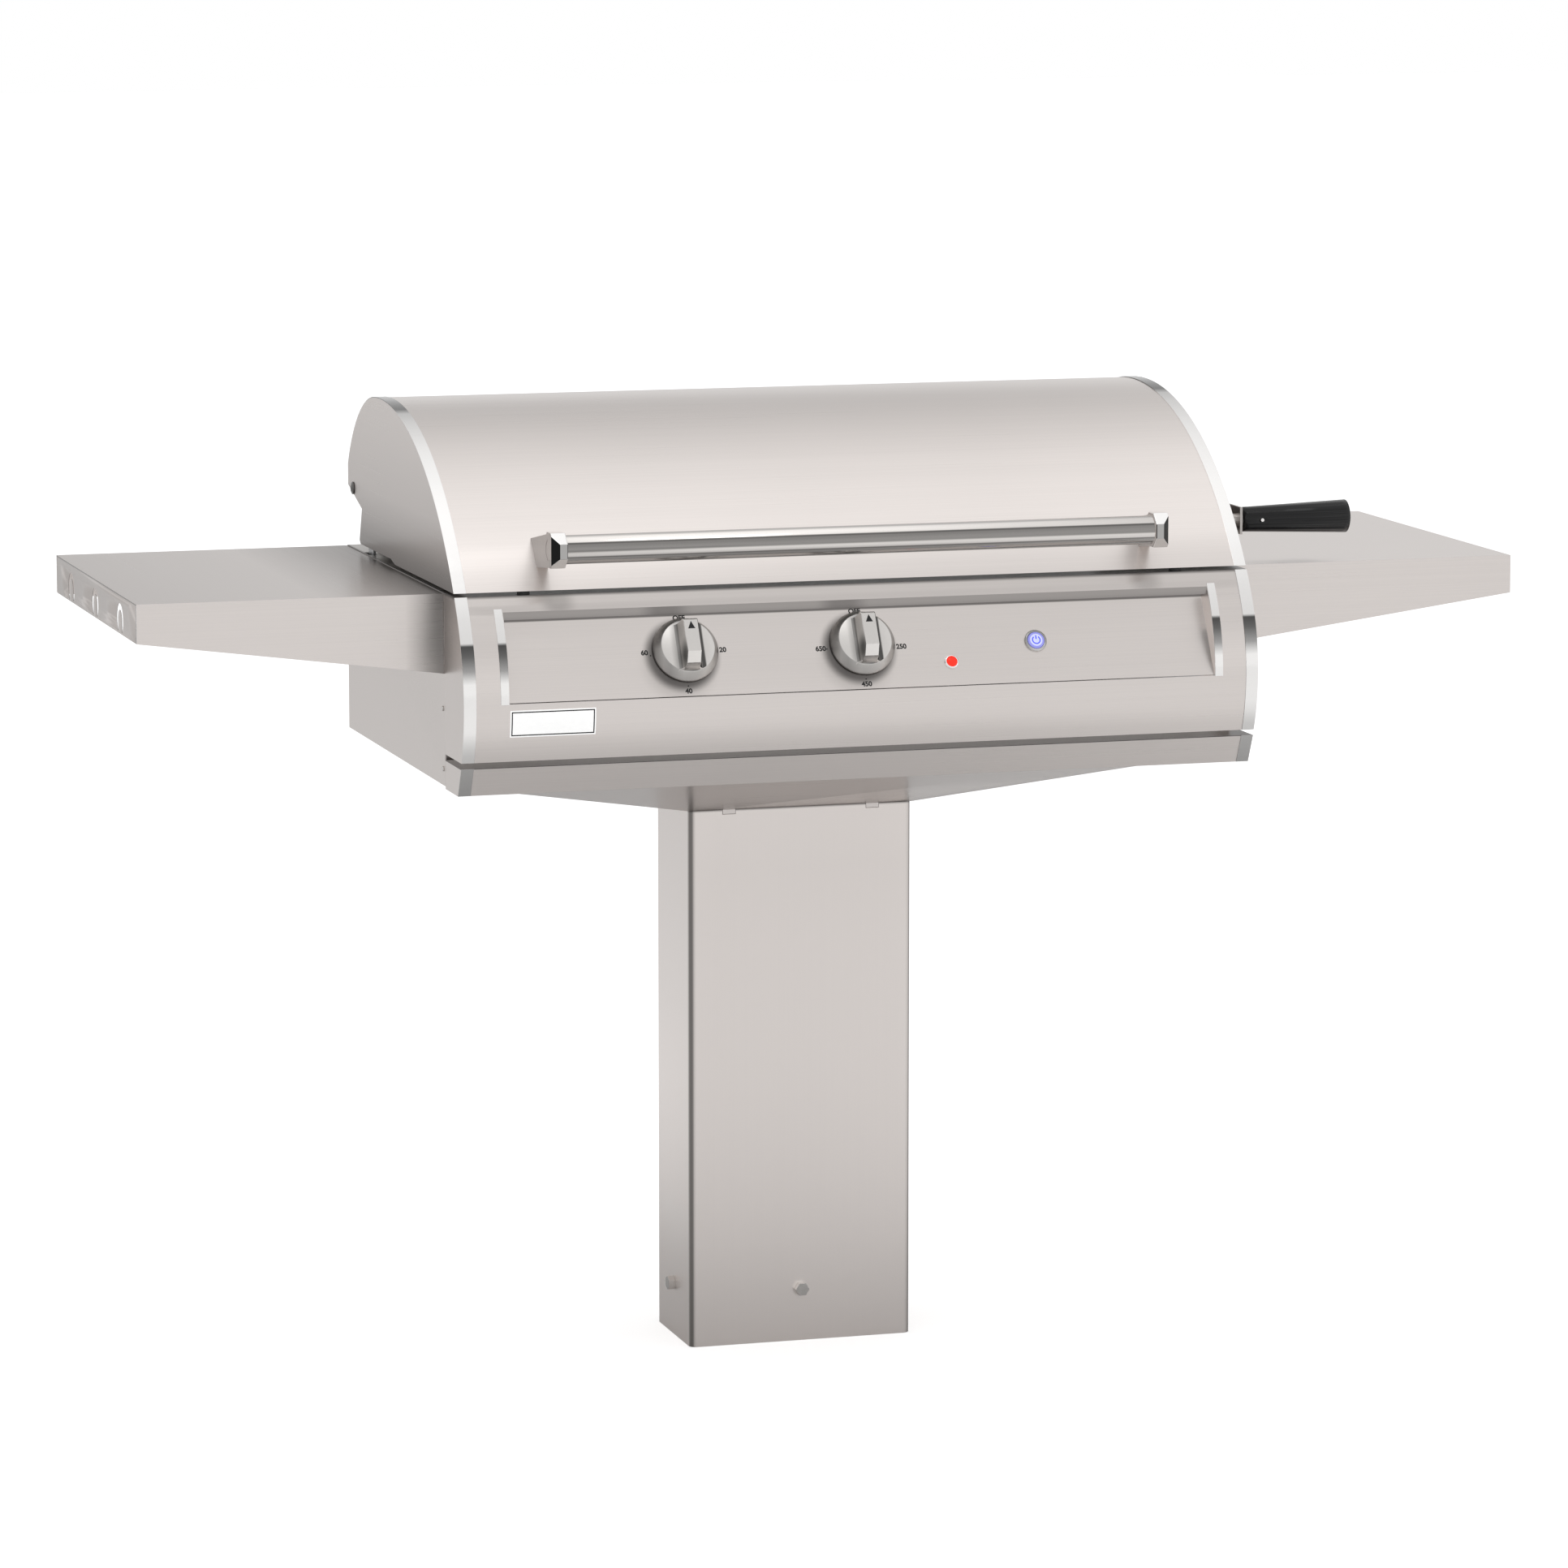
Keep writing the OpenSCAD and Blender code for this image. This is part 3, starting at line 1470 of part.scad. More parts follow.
module side_handle_grip() {
  end_x = half_w + grip_off + grip_len;
  color("black") difference() {
    intersection() {
      translate([half_w + grip_off, -grip_y, grip_z]) rotate([0, 90, 0])
        cylinder(d1 = grip_d1, d2 = grip_d2, h = grip_len);
      translate([end_x - 2 * grip_d2, -grip_y, grip_z]) rotate([0, 90, 0]) union() {
        sphere(r = 2 * grip_d2);
        translate([0, 0, -grip_len]) cylinder(r = grip_d2, h = grip_len);
      }
    }
    translate([half_w, -grip_y, grip_z]) rotate([0, 90, 0])
      cylinder(d = rod_d + 2 * run_gap, h = grip_off + rod_len);
    translate([half_w + grip_off + pin_x, -grip_y, grip_z]) rotate([90, 0, 0])
      cylinder(d = grip_pin_d + 2 * run_gap, h = grip_d2);
  }
}

module side_handle_rod() {
  color("silver") {
    translate([half_w + side_arm_off - rod_head_h, -grip_y, grip_z]) rotate([0, 90, 0])
      cylinder(d = rod_head_d, h = rod_head_h);
    translate([half_w + side_arm_off - rod_head_h, -grip_y, grip_z]) rotate([0, 90, 0])
      cylinder(d = rod_d, h = rod_head_h + grip_off - side_arm_off + rod_len);
    translate([half_w + side_arm_off + side_arm_t, -grip_y, grip_z]) rotate([0, 90, 0])
      cylinder(d = rod_head_d, h = grip_off - side_arm_off - side_arm_t);
  }
}

module side_handle_pin() {
  color("silver") translate([half_w + grip_off + pin_x, -grip_y - rod_d / 2 - seat_gap, grip_z])
    rotate([90, 0, 0]) cylinder(d = grip_pin_d, h = grip_d1 / 2 - rod_d / 2 + grip_pin_d / 4);
}

module side_handle_screws() {
  color("silver") on_side_screws() {
    translate([0, 0, side_arm_t]) cylinder(d = screw_head_d - 2 * seat_gap, h = screw_head_h);
    translate([0, 0, -2 * screw_d]) cylinder(d = screw_d, h = 2 * screw_d + side_arm_t);
  }
}

// Outline of one tool hook slot, open side down, in Y and Z
module hook_outline(y) {
  z0 = shelf_z - hook_drop - hook_h;
  r = hook_w / 2;
  translate([y, z0 + hook_h - r]) difference() {
    union() {
      circle(r = r);
      translate([-r, r - hook_h]) square([hook_w, hook_h - r]);
    }
    circle(r = r - hook_slot);
    translate([hook_slot - r, -hook_h]) square([hook_w - 2 * hook_slot, hook_h]);
  }
}

// Shelf of the right side
// One shelf sheet, open at its outer end
module shelf_sheet() {
  x1 = half_w + shelf_w;
  difference() {
    union() {
      slab(half_w, x1, -shelf_front, shelf_back, shelf_z - sheet, shelf_z);
      for (y = [-shelf_front, shelf_back - sheet]) {
        translate([0, y + sheet, 0]) rotate([90, 0, 0]) linear_extrude(height = sheet) polygon([
          [half_w, shelf_z],
          [x1, shelf_z],
          [x1, shelf_z - apron_out],
          [half_w, shelf_z - apron_in]
        ]);
      }
      slab(half_w, half_w + sheet, -shelf_front, shelf_back, shelf_z - apron_in, shelf_z);
    }
    for (y = [shelf_bolt_y, -shelf_bolt_front]) {
      on_shelf_bolts(y) translate([0, 0, -sheet])
        cylinder(d = shelf_bolt_d + 2 * seat_gap, h = 3 * sheet);
    }
  }
}

// Outer end of a shelf, up to a height
module shelf_end(top) {
  slab(half_w + shelf_w - sheet, half_w + shelf_w, -shelf_front + sheet + shelf_slit,
    shelf_back - sheet - shelf_slit, shelf_z - apron_out, top);
}

module shelf_left() {
  color("lightgray") mirror([1, 0, 0]) shelf_sheet();
}

// End plate of the left shelf with the tool hooks cut in it
module shelf_hooks() {
  color("lightgray") mirror([1, 0, 0]) difference() {
    shelf_end(shelf_z - sheet);
    along_x(half_w + shelf_w - 2 * sheet, half_w + shelf_w + sheet) {
      for (i = [-1:1]) {
        hook_outline(i * hook_pitch);
      }
    }
  }
}

module shelf_right() {
  color("lightgray") {
    shelf_sheet();
    shelf_end(shelf_z);
  }
}

// Hexagon nut of a shelf bolt, under a sheet of some thickness
module shelf_nut(depth) {
  translate([0, 0, -depth - shelf_nut_h]) difference() {
    cylinder(d = shelf_nut * hex, h = shelf_nut_h, $fn = 6);
    translate([0, 0, -sheet]) cylinder(d = shelf_bolt_d + 2 * run_gap, h = 2 * shelf_nut_h);
  }
}

module shelf_bolts() {
  color("silver") both_sides() {
    on_shelf_bolts(shelf_bolt_y) {
      translate([0, 0, sheet]) cylinder(d = 2 * shelf_bolt_d, h = shelf_bolt_d / 2);
      translate([0, 0, -bracket_in - bracket_t - shelf_nut_h])
        cylinder(d = shelf_bolt_d, h = sheet + bracket_in + bracket_t + shelf_nut_h);
      shelf_nut(bracket_in + bracket_t);
    }
    on_shelf_bolts(-shelf_bolt_front) {
      translate([0, 0, sheet]) cylinder(d = 2 * shelf_bolt_d, h = shelf_bolt_d / 2);
      translate([0, 0, -sheet - shelf_nut_h]) cylinder(d = shelf_bolt_d, h = 2 * sheet + shelf_nut_h);
      shelf_nut(sheet);
    }
  }
}

module junction_box() {
  z = body_z + sheet;
  w = junction_w / 2;
  d = junction_d / 2;
  color("gray") difference() {
    slab(-w, w, -d, d, z, z + junction_h);
    slab(sheet - w, w - sheet, sheet - d, d - sheet, z + sheet, z + junction_h - sheet);
    translate([0, 0, z - sheet]) cylinder(d = gland_thread + 2 * seat_gap, h = 3 * sheet);
  }
}

module supply_gland() {
  color("dimgray") difference() {
    union() {
      translate([0, 0, body_z - gland_step]) cylinder(d = gland_d * hex, h = gland_step, $fn = 6);
      translate([0, 0, body_z - 3 * gland_step]) cylinder(d = gland_d, h = 2 * gland_step);
      translate([0, 0, body_z]) cylinder(d = gland_thread, h = gland_step);
    }
    translate([0, 0, body_z - 4 * gland_step]) cylinder(d = gland_bore, h = 6 * gland_step);
  }
}

post_column();
anchor_bracket();
post_bolts();
support_hopper();
hopper_screws();
body_shell();
cooking_well();
back_riser();
hinge_brackets();
hinge_bolts();
hinge_spacers();
hinge_nuts();
drip_tray();
heating_element();
element_supports();
terminal_blocks();
thermostat_probe();
grate_left();
grate_right();
front_ledge();
ledge_strips();
seam_screws();
fascia_shell();
control_panel();
recess_strips();
fascia_trims();
heat_shield();
timer_body();
timer_shaft();
timer_knob();
thermostat_body();
thermostat_shaft();
temperature_knob();
power_bezel();
power_button();
power_switch();
lamp_bezel();
lamp_lens();
nameplate();
hood_skin();
hood_side_left();
hood_side_right();
hood_liner();
hood_trims();
handle_tube();
handle_blocks();
handle_arms();
handle_screws();
hood_bumpers();
side_handle_arm();
side_handle_grip();
side_handle_rod();
side_handle_pin();
side_handle_screws();
shelf_left();
shelf_hooks();
shelf_right();
shelf_bolts();
junction_box();
supply_gland();
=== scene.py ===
# %% [markdown]
# # An electric grill on a patio post
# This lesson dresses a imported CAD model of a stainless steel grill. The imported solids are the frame.
# Each piece made here rides on a body of that frame, so hood, knobs and button still move.

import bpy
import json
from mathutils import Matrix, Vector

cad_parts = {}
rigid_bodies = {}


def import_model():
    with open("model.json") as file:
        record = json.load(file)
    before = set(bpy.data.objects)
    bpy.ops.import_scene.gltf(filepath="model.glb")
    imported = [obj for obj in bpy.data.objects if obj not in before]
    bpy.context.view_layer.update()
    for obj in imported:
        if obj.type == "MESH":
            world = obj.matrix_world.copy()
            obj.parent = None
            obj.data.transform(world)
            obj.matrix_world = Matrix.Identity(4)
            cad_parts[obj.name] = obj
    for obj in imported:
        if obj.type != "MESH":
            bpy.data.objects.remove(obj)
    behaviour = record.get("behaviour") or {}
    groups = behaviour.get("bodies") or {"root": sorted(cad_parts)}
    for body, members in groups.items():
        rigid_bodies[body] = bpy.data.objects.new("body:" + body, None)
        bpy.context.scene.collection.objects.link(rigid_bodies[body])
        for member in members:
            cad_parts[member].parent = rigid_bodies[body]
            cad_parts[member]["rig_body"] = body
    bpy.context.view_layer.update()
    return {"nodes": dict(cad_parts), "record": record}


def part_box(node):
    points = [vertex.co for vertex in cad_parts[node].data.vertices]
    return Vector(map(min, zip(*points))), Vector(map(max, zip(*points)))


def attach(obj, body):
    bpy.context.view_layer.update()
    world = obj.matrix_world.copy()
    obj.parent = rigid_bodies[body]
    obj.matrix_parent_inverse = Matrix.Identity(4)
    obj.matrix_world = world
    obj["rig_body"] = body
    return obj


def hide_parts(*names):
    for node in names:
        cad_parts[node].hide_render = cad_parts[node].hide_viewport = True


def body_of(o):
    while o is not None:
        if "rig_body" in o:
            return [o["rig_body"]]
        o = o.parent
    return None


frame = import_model()
print("nodes:", len(frame["nodes"]))

# %% Modules and units
import json
import math

import bmesh
import bpy
from mathutils import Matrix, Vector

MM = 0.001
print("one millimetre is", MM)

# %% [markdown]
# ## A small kit for node trees
# Floor, tent, steel and plastic are all node trees. They could be clicked together by hand in the shader
# editor. A few helpers write them instead, so that each finish reads as a short recipe further down.

# %% Nodes and links
SHARE, FIRST, SECOND, MIXED = 0, 6, 7, 2  # sockets of a Mix node that mixes colours
WHITE = (1, 1, 1, 1)


def link(tree, source, target):
    tree.links.new(source, target)


def new_node(tree, kind, **values):
    made = tree.nodes.new(kind)
    for key, value in values.items():
        setattr(made, key, value)
    return made


def set_inputs(node, values):
    for label, value in values.items():
        node.inputs[label].default_value = value


def blank(name):
    """A new material with its node tree and its shader."""
    material = bpy.data.materials.new(name)
    material.use_nodes = True
    return material, material.node_tree, material.node_tree.nodes["Principled BSDF"]


def mixed(tree, share, first, second, mode="MIX"):
    """Mixes two colours. Each argument is a value or an output of another node."""
    node = new_node(tree, "ShaderNodeMix", data_type="RGBA", blend_type=mode)
    for number, value in ((SHARE, share), (FIRST, first), (SECOND, second)):
        if hasattr(value, "is_linked"):
            link(tree, value, node.inputs[number])
        else:
            node.inputs[number].default_value = value
    return node.outputs[MIXED]


print("kit ready")

# %% Values over the object
def object_place(tree):
    """The place on the object, in metres."""
    return new_node(tree, "ShaderNodeTexCoord").outputs["Object"]


def rescaled(tree, source, low, high, to_low=0.0, to_high=1.0, **values):
    """Turns a value between low and high into one between two other ends."""
    node = new_node(tree, "ShaderNodeMapRange", **values)
    set_inputs(node, {"From Min": low, "From Max": high, "To Min": to_low, "To Max": to_high})
    link(tree, source, node.inputs["Value"])
    return node.outputs[0]


def product(tree, first, second):
    """Multiplies an output by another output or by a number."""
    node = new_node(tree, "ShaderNodeMath", operation="MULTIPLY")
    link(tree, first, node.inputs[0])
    if hasattr(second, "is_linked"):
        link(tree, second, node.inputs[1])
    else:
        node.inputs[1].default_value = second
    return node.outputs[0]


def grey_steps(tree, source, stops, unit=1.0):
    """Greys over a value, from stops of (value, grey). The unit turns the stops into metres."""
    low, high = stops[0][0], stops[-1][0]
    node = new_node(tree, "ShaderNodeValToRGB")
    for _ in stops[2:]:
        node.color_ramp.elements.new(0.5)
    for element, (value, grey) in zip(node.color_ramp.elements, stops):
        element.position = (value - low) / (high - low)
        element.color = (grey, grey, grey, 1)
    link(tree, rescaled(tree, source, low * unit, high * unit), node.inputs["Fac"])
    return node.outputs["Color"]


print("value helpers ready")

# %% [markdown]
# ## The camera
# A product photo is taken from far away with a long lens, so its lines stay nearly parallel. The camera
# could be placed by eye. Here its place, its turn and its lens come from a fit to straight edges of the
# object, because a fitted camera lets every later measure be trusted. No lens shift is needed.

# %% Camera
camera_place = (-2.1542, -7.2375, 1.8057)
camera_down, camera_turn = 8.7393, 16.5814
photo_width, focal_length = 1932, 8111.675  # pixels
sensor_width = 36

camera = bpy.data.objects.new("view_camera", bpy.data.cameras.new("view_camera"))
bpy.context.collection.objects.link(camera)
camera.location = camera_place
camera.rotation_euler = (math.radians(90 - camera_down), 0, math.radians(-camera_turn))
camera.data.sensor_width = sensor_width
camera.data.lens = focal_length / photo_width * sensor_width
camera.data.clip_end = 60
bpy.context.scene.camera = camera
print("lens", round(camera.data.lens, 2), "mm")

# %% [markdown]
# ## Floor
# The floor is a sheet of pale paper. It could be one plain white, but then the steel above it would mirror
# too bright a floor. So the camera sees it lifted to white, as a retoucher would do, with only a faint
# shadow left at the foot, and the steel mirrors a greyer paper that is darkest close to the post, where the
# object shades it. Light Path tells the two kinds of ray apart.

# %% Floor
def paper(name, near, far, left, lift):
    """Matt paper: for mirrors, a painted shade that goes from grey near the post to paler far off and is
    darker at the left; lifted for the camera.
    """
    material, tree, shader = blank(name)
    set_inputs(shader, {"Roughness": 1.0, "Specular IOR Level": 0.0, "Emission Color": WHITE})
    place = object_place(tree)
    reach = new_node(tree, "ShaderNodeVectorMath", operation="LENGTH")
    split = new_node(tree, "ShaderNodeSeparateXYZ")
    link(tree, place, reach.inputs[0])
    link(tree, place, split.inputs[0])
    by_reach = rescaled(tree, reach.outputs["Value"], 0.4, 1.7, near, far)
    by_side = rescaled(tree, split.outputs["X"], -1.6, -0.4, left, 1.0)
    camera_ray = new_node(tree, "ShaderNodeLightPath").outputs["Is Camera Ray"]
    link(tree, mixed(tree, camera_ray, product(tree, by_reach, by_side), WHITE), shader.inputs["Base Color"])
    link(tree, product(tree, camera_ray, lift), shader.inputs["Emission Strength"])
    return material


bpy.ops.mesh.primitive_plane_add(size=60, location=(0, 0, 0))
floor = bpy.context.object
floor.name = "floor"
floor.data.materials.append(paper("floor_paper", 0.52, 1.0, 0.8, 0.4))
print("floor laid")

# %% [markdown]
# ## The tent
# Steel shows what stands around it, so the world is a photo tent: brightest overhead, softer at the sides.
# It could be built from big white planes. A World shader does the same with no planes to clip or to cast
# shadows: two ramps over height, one for the front and one for the back, are mixed by Y.

# %% World
world = bpy.data.worlds.new("tent")
bpy.context.scene.world = world
world.use_nodes = True
sky = world.node_tree
sky.nodes.clear()
sky_split = new_node(sky, "ShaderNodeSeparateXYZ")
link(sky, new_node(sky, "ShaderNodeTexCoord").outputs["Generated"], sky_split.inputs[0])
front_grey = grey_steps(sky, sky_split.outputs["Z"], [
    (-1, 0.6), (0.0, 0.88), (0.2, 0.86), (0.5, 0.74), (0.78, 0.78), (0.91, 0.95), (1, 1.05)])
back_grey = grey_steps(sky, sky_split.outputs["Z"], [
    (-1, 0.6), (0.0, 0.82), (0.2, 0.84), (0.4, 0.62), (0.6, 0.66), (0.8, 0.8), (0.93, 0.92), (1, 1.05)])
back_share = grey_steps(sky, sky_split.outputs["Y"], [(-1, 0.0), (-0.25, 0.0), (0.25, 1.0), (1, 1.0)])
print("tent has", len(sky.nodes), "nodes")

# %% White behind the object
tent_light = new_node(sky, "ShaderNodeBackground")
plain_white = new_node(sky, "ShaderNodeBackground")
pick = new_node(sky, "ShaderNodeMixShader")
link(sky, mixed(sky, back_share, front_grey, back_grey), tent_light.inputs["Color"])
plain_white.inputs["Color"].default_value = WHITE
link(sky, new_node(sky, "ShaderNodeLightPath").outputs["Is Camera Ray"], pick.inputs[0])
link(sky, tent_light.outputs[0], pick.inputs[1])
link(sky, plain_white.outputs[0], pick.inputs[2])
link(sky, pick.outputs[0], new_node(sky, "ShaderNodeOutputWorld").inputs[0])
bpy.context.scene.view_settings.view_transform = "Standard"
print("world has", len(sky.nodes), "nodes")

# %% [markdown]
# ## The lamp
# One soft box hangs over the left front of the grill and gives the hood its slow fall of light. It could be
# a sun, but a sun leaves a hard, small highlight on steel. An area lamp is mirrored as a soft patch.

# %% Lamp
def soft_lamp(name, place, aim, width, height, radiance):
    """A rectangular lamp. Its power follows from the brightness that it shows in a mirror."""
    lamp = bpy.data.objects.new(name, bpy.data.lights.new(name, "AREA"))
    bpy.context.collection.objects.link(lamp)
    lamp.data.shape = "RECTANGLE"
    lamp.data.size, lamp.data.size_y = width, height
    lamp.data.energy = radiance * math.pi * width * height
    lamp.location = place
    lamp.rotation_euler = (Vector(aim) - Vector(place)).to_track_quat("-Z", "Y").to_euler()


soft_lamp("lamp_top", (-0.6, -1.6, 4.6), (0, 0, 0.9), 1.6, 1.2, 1.2)
print("one lamp")

# %% [markdown]
# ## Steel
# Brushed stainless steel is a mirror with fine parallel scratches. A picture of scratches could be wrapped
# round it, but it would stretch on the curved hood. Here anisotropy smears a reflection across the grain,
# and noise stretched along the grain gives the scratches colour and depth. They are finer than a millimetre,
# so their contrast stays low. Pointiness rubs the edges brighter.

# %% Noise and colour ramps
def stretched_noise(tree, scale, detail=3.0):
    """Noise in object space with its own scale on each axis."""
    mapping = new_node(tree, "ShaderNodeMapping")
    mapping.inputs["Scale"].default_value = scale
    noise = new_node(tree, "ShaderNodeTexNoise")
    set_inputs(noise, {"Scale": 1.0, "Detail": detail})
    link(tree, object_place(tree), mapping.inputs["Vector"])
    link(tree, mapping.outputs["Vector"], noise.inputs["Vector"])
    return noise.outputs["Fac"]


def ramp(tree, source, low, high, start=0.0, end=1.0):
    """Turns a 0 to 1 value into a colour or grey between low and high."""
    node = new_node(tree, "ShaderNodeValToRGB")
    node.color_ramp.elements[0].position = start
    node.color_ramp.elements[1].position = end
    for element, value in zip(node.color_ramp.elements, (low, high)):
        element.color = (*value, 1) if hasattr(value, "__len__") else (value, value, value, 1)
    link(tree, source, node.inputs["Fac"])
    return node.outputs["Color"]


def shades(colour, factor):
    return tuple(min(1.0, c * factor) for c in colour)


def dent_with(tree, shader, height, strength):
    """Presses a noise into the surface."""
    bump = new_node(tree, "ShaderNodeBump")
    set_inputs(bump, {"Strength": strength, "Distance": 0.0004})
    link(tree, height, bump.inputs["Height"])
    link(tree, bump.outputs["Normal"], shader.inputs["Normal"])


print("noise helpers ready")

# %% Metal recipe
def metal(name, colour, roughness, grain, contrast=0.03, spread=0.05, dent=0.03, smear=0.0, smear_along=None):
    """A metal with a grain. Contrast, spread and dent say how much the scratches change its colour,
    roughness and height. Smear is the anisotropy, across the direction smear_along."""
    cloud_scale, edge_wear = 2.5, 0.15
    material, tree, shader = blank(name)
    set_inputs(shader, {"Metallic": 1.0, "Anisotropic": smear})
    lines = stretched_noise(tree, grain, 4.0)
    cloud = stretched_noise(tree, (cloud_scale, cloud_scale, cloud_scale), 2.0)
    base = ramp(tree, lines, shades(colour, 1 - contrast), shades(colour, 1 + contrast), 0.3, 0.7)
    base = mixed(tree, 0.4, base, ramp(tree, cloud, shades(colour, 0.965), shades(colour, 1.02), 0.35, 0.65))
    pointed = new_node(tree, "ShaderNodeNewGeometry").outputs["Pointiness"]
    base = mixed(tree, ramp(tree, pointed, 0.0, edge_wear, 0.51, 0.58), base, (*shades(colour, 1.2), 1))
    link(tree, base, shader.inputs["Base Color"])
    rough = ramp(tree, lines, max(0.02, roughness - spread), roughness + spread, 0.25, 0.75)
    rough = mixed(tree, 0.4, rough, ramp(tree, cloud, roughness * 0.9, roughness * 1.1, 0.3, 0.7))
    link(tree, rough, shader.inputs["Roughness"])
    dent_with(tree, shader, lines, dent)
    if smear_along:
        along = new_node(tree, "ShaderNodeCombineXYZ")
        for socket, value in zip(along.inputs, smear_along):
            socket.default_value = value
        link(tree, along.outputs[0], shader.inputs["Tangent"])
    return material


STEEL = (0.775, 0.725, 0.697)
along_x, along_y, along_z = (1, 0.02, 0.01), (0.02, 1, 0.01), (0.01, 0.02, 1)
brushed_x = metal("brushed_steel_along", STEEL, 0.30, (1.5, 900, 900), smear=0.5, smear_along=along_x)
brushed_y = metal("brushed_steel_across", STEEL, 0.30, (900, 1.5, 900), smear=0.5, smear_along=along_y)
brushed_z = metal("brushed_steel_upright", STEEL, 0.30, (900, 900, 1.5), smear=0.5, smear_along=along_z)
print("three brushed steels")

# %% Other metals
polished = metal("polished_steel", (0.93, 0.91, 0.89), 0.06, (3, 300, 300), 0.01, 0.015, 0.008)
tube_steel = metal("satin_tube", (0.72, 0.69, 0.665), 0.16, (2, 700, 700), 0.02, 0.03, 0.02)
dull_steel = metal("dull_inner_steel", (0.55, 0.53, 0.51), 0.42, (3, 200, 200), 0.05, 0.08, 0.05)
zinc = metal("zinc_plate", (0.62, 0.63, 0.64), 0.38, (60, 60, 60), 0.08, 0.1, 0.04)
fastener = metal("fastener_steel", (0.66, 0.64, 0.62), 0.24, (200, 200, 60), 0.04, 0.06, 0.03)
element_metal = metal("oxidised_sheath", (0.2, 0.19, 0.18), 0.5, (40, 200, 200), 0.12, 0.1, 0.05)
grate_metal = metal("grate_steel", (0.45, 0.44, 0.42), 0.4, (200, 3, 200), 0.06, 0.1, 0.05)
knob_metal = metal("satin_knob", (0.74, 0.715, 0.69), 0.24, (350, 350, 350), 0.02, 0.03, 0.02)
knob_satin = metal("satin_dial", (0.76, 0.735, 0.71), 0.36, (350, 350, 350), 0.02, 0.03, 0.02)
print("metals:", len(bpy.data.materials))

# %% [markdown]
# ## Plastics and ink
# The lift handle's grip, the lit lenses, the plate and the print are plain moulded or coated stuff. One flat
# colour each would do from afar. A fine speck and a faint cloud keep them from looking like a drawing close
# to, and a lens shines a little by itself, because a lamp glows behind it. The plate is given a faint painted
# glow as well, with no lamp behind it.

# %% Plastic recipe
def plastic(name, colour, roughness, grain=400, dent=0.04, coat=0.0, glow=0.0):
    """A moulded plastic with a fine speck. Glow lets it shine by itself, as a lit lens does."""
    material, tree, shader = blank(name)
    speck = stretched_noise(tree, (grain, grain, grain), 3.0)
    cloud = stretched_noise(tree, (9, 9, 9), 2.0)
    base = mixed(tree, 0.5, ramp(tree, speck, shades(colour, 0.9), colour, 0.3, 0.7),
                 ramp(tree, cloud, shades(colour, 0.92), shades(colour, 1.08)))
    link(tree, base, shader.inputs["Base Color"])
    link(tree, ramp(tree, cloud, roughness * 0.85, min(1.0, roughness * 1.15)), shader.inputs["Roughness"])
    set_inputs(shader, {"Coat Weight": coat, "Coat Roughness": 0.05})
    if glow:
        link(tree, base, shader.inputs["Emission Color"])
        shader.inputs["Emission Strength"].default_value = glow
    dent_with(tree, shader, speck, dent)
    return material


moulded = plastic("moulded_black", (0.03, 0.03, 0.032), 0.5)
gloss_black = plastic("gloss_grip", (0.003, 0.003, 0.0035), 0.16, 60, 0.01, 0.12)
gloss_black.node_tree.nodes["Principled BSDF"].inputs["Specular IOR Level"].default_value = 0.3
rubber = plastic("soft_rubber", (0.035, 0.035, 0.035), 0.75)
ceramic = plastic("glazed_ceramic", (0.82, 0.8, 0.75), 0.2, 200, 0.02, 0.3)
lamp_red = plastic("lamp_red", (0.9, 0.018, 0.002), 0.35, 500, 0.02, 0.1, 0.55)
# Painted glow: the plate shines a little by itself, with no lamp behind it, to keep it white.
plate_white_painted_glow = plastic("plate_white_painted_glow", (0.98, 0.98, 0.975), 0.4, 300, 0.01, 0.1, 0.3)
ink = plastic("printed_ink", (0.012, 0.012, 0.013), 0.7, 900, 0.02)
button_blue = plastic("lit_button", (0.27, 0.28, 0.72), 0.35, 900, 0.02, 0.1, 0.45)
button_core = plastic("lit_button_core", (0.55, 0.58, 1.0), 0.35, 900, 0.02, 0.1, 0.5)
symbol_blue = plastic("lit_symbol", (0.06, 0.08, 0.78), 0.35, 900, 0.01, 0.0, 0.5)
print("plastics made")

# %% [markdown]
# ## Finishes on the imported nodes
# Most inner pieces have the right shape already and only need a finish. Each could be given its own by hand.
# The record names a material slot for every node, so one table from slot to finish dresses them all.

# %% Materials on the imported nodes
finishes = {
    "stainless": brushed_x, "polished_steel": polished, "inner_steel": dull_steel, "zinc_steel": zinc,
    "fasteners": fastener, "element_sheath": element_metal, "ceramic": ceramic, "grate_steel": grate_metal,
    "control_plastic": moulded, "knob_metal": knob_metal, "button_metal": fastener, "lamp_red": lamp_red,
    "plate": plate_white_painted_glow, "handle_steel": tube_steel, "bumper_rubber": rubber, "grip_plastic": gloss_black,
}
slot_of = {part["node"]: part["material_slot"] for part in frame["record"]["subparts"]}
for name, node in frame["nodes"].items():
    node.data.materials.clear()
    node.data.materials.append(finishes[slot_of[name]])
for name in ("hood_side_left", "hood_side_right", "shelf_left", "shelf_right"):
    frame["nodes"][name].data.materials[0] = brushed_y
frame["nodes"]["post_column"].data.materials[0] = brushed_z
print("dressed", len(slot_of), "nodes")

# %% [markdown]
# ## How a piece takes the place of a node
# A imported node keeps its plain solid for the physics. That solid could be shown as it is, but its edges are
# razor sharp. A piece that stands for it is dressed more finely and rides on the same body.

# %% Standing in for a node
def as_piece(name, mesh, smooth=True):
    """Turns a bmesh into an object in the scene."""
    data = bpy.data.meshes.new(name)
    mesh.to_mesh(data)
    mesh.free()
    piece = bpy.data.objects.new(name, data)
    bpy.context.collection.objects.link(piece)
    for polygon in data.polygons:
        polygon.use_smooth = smooth
    return piece


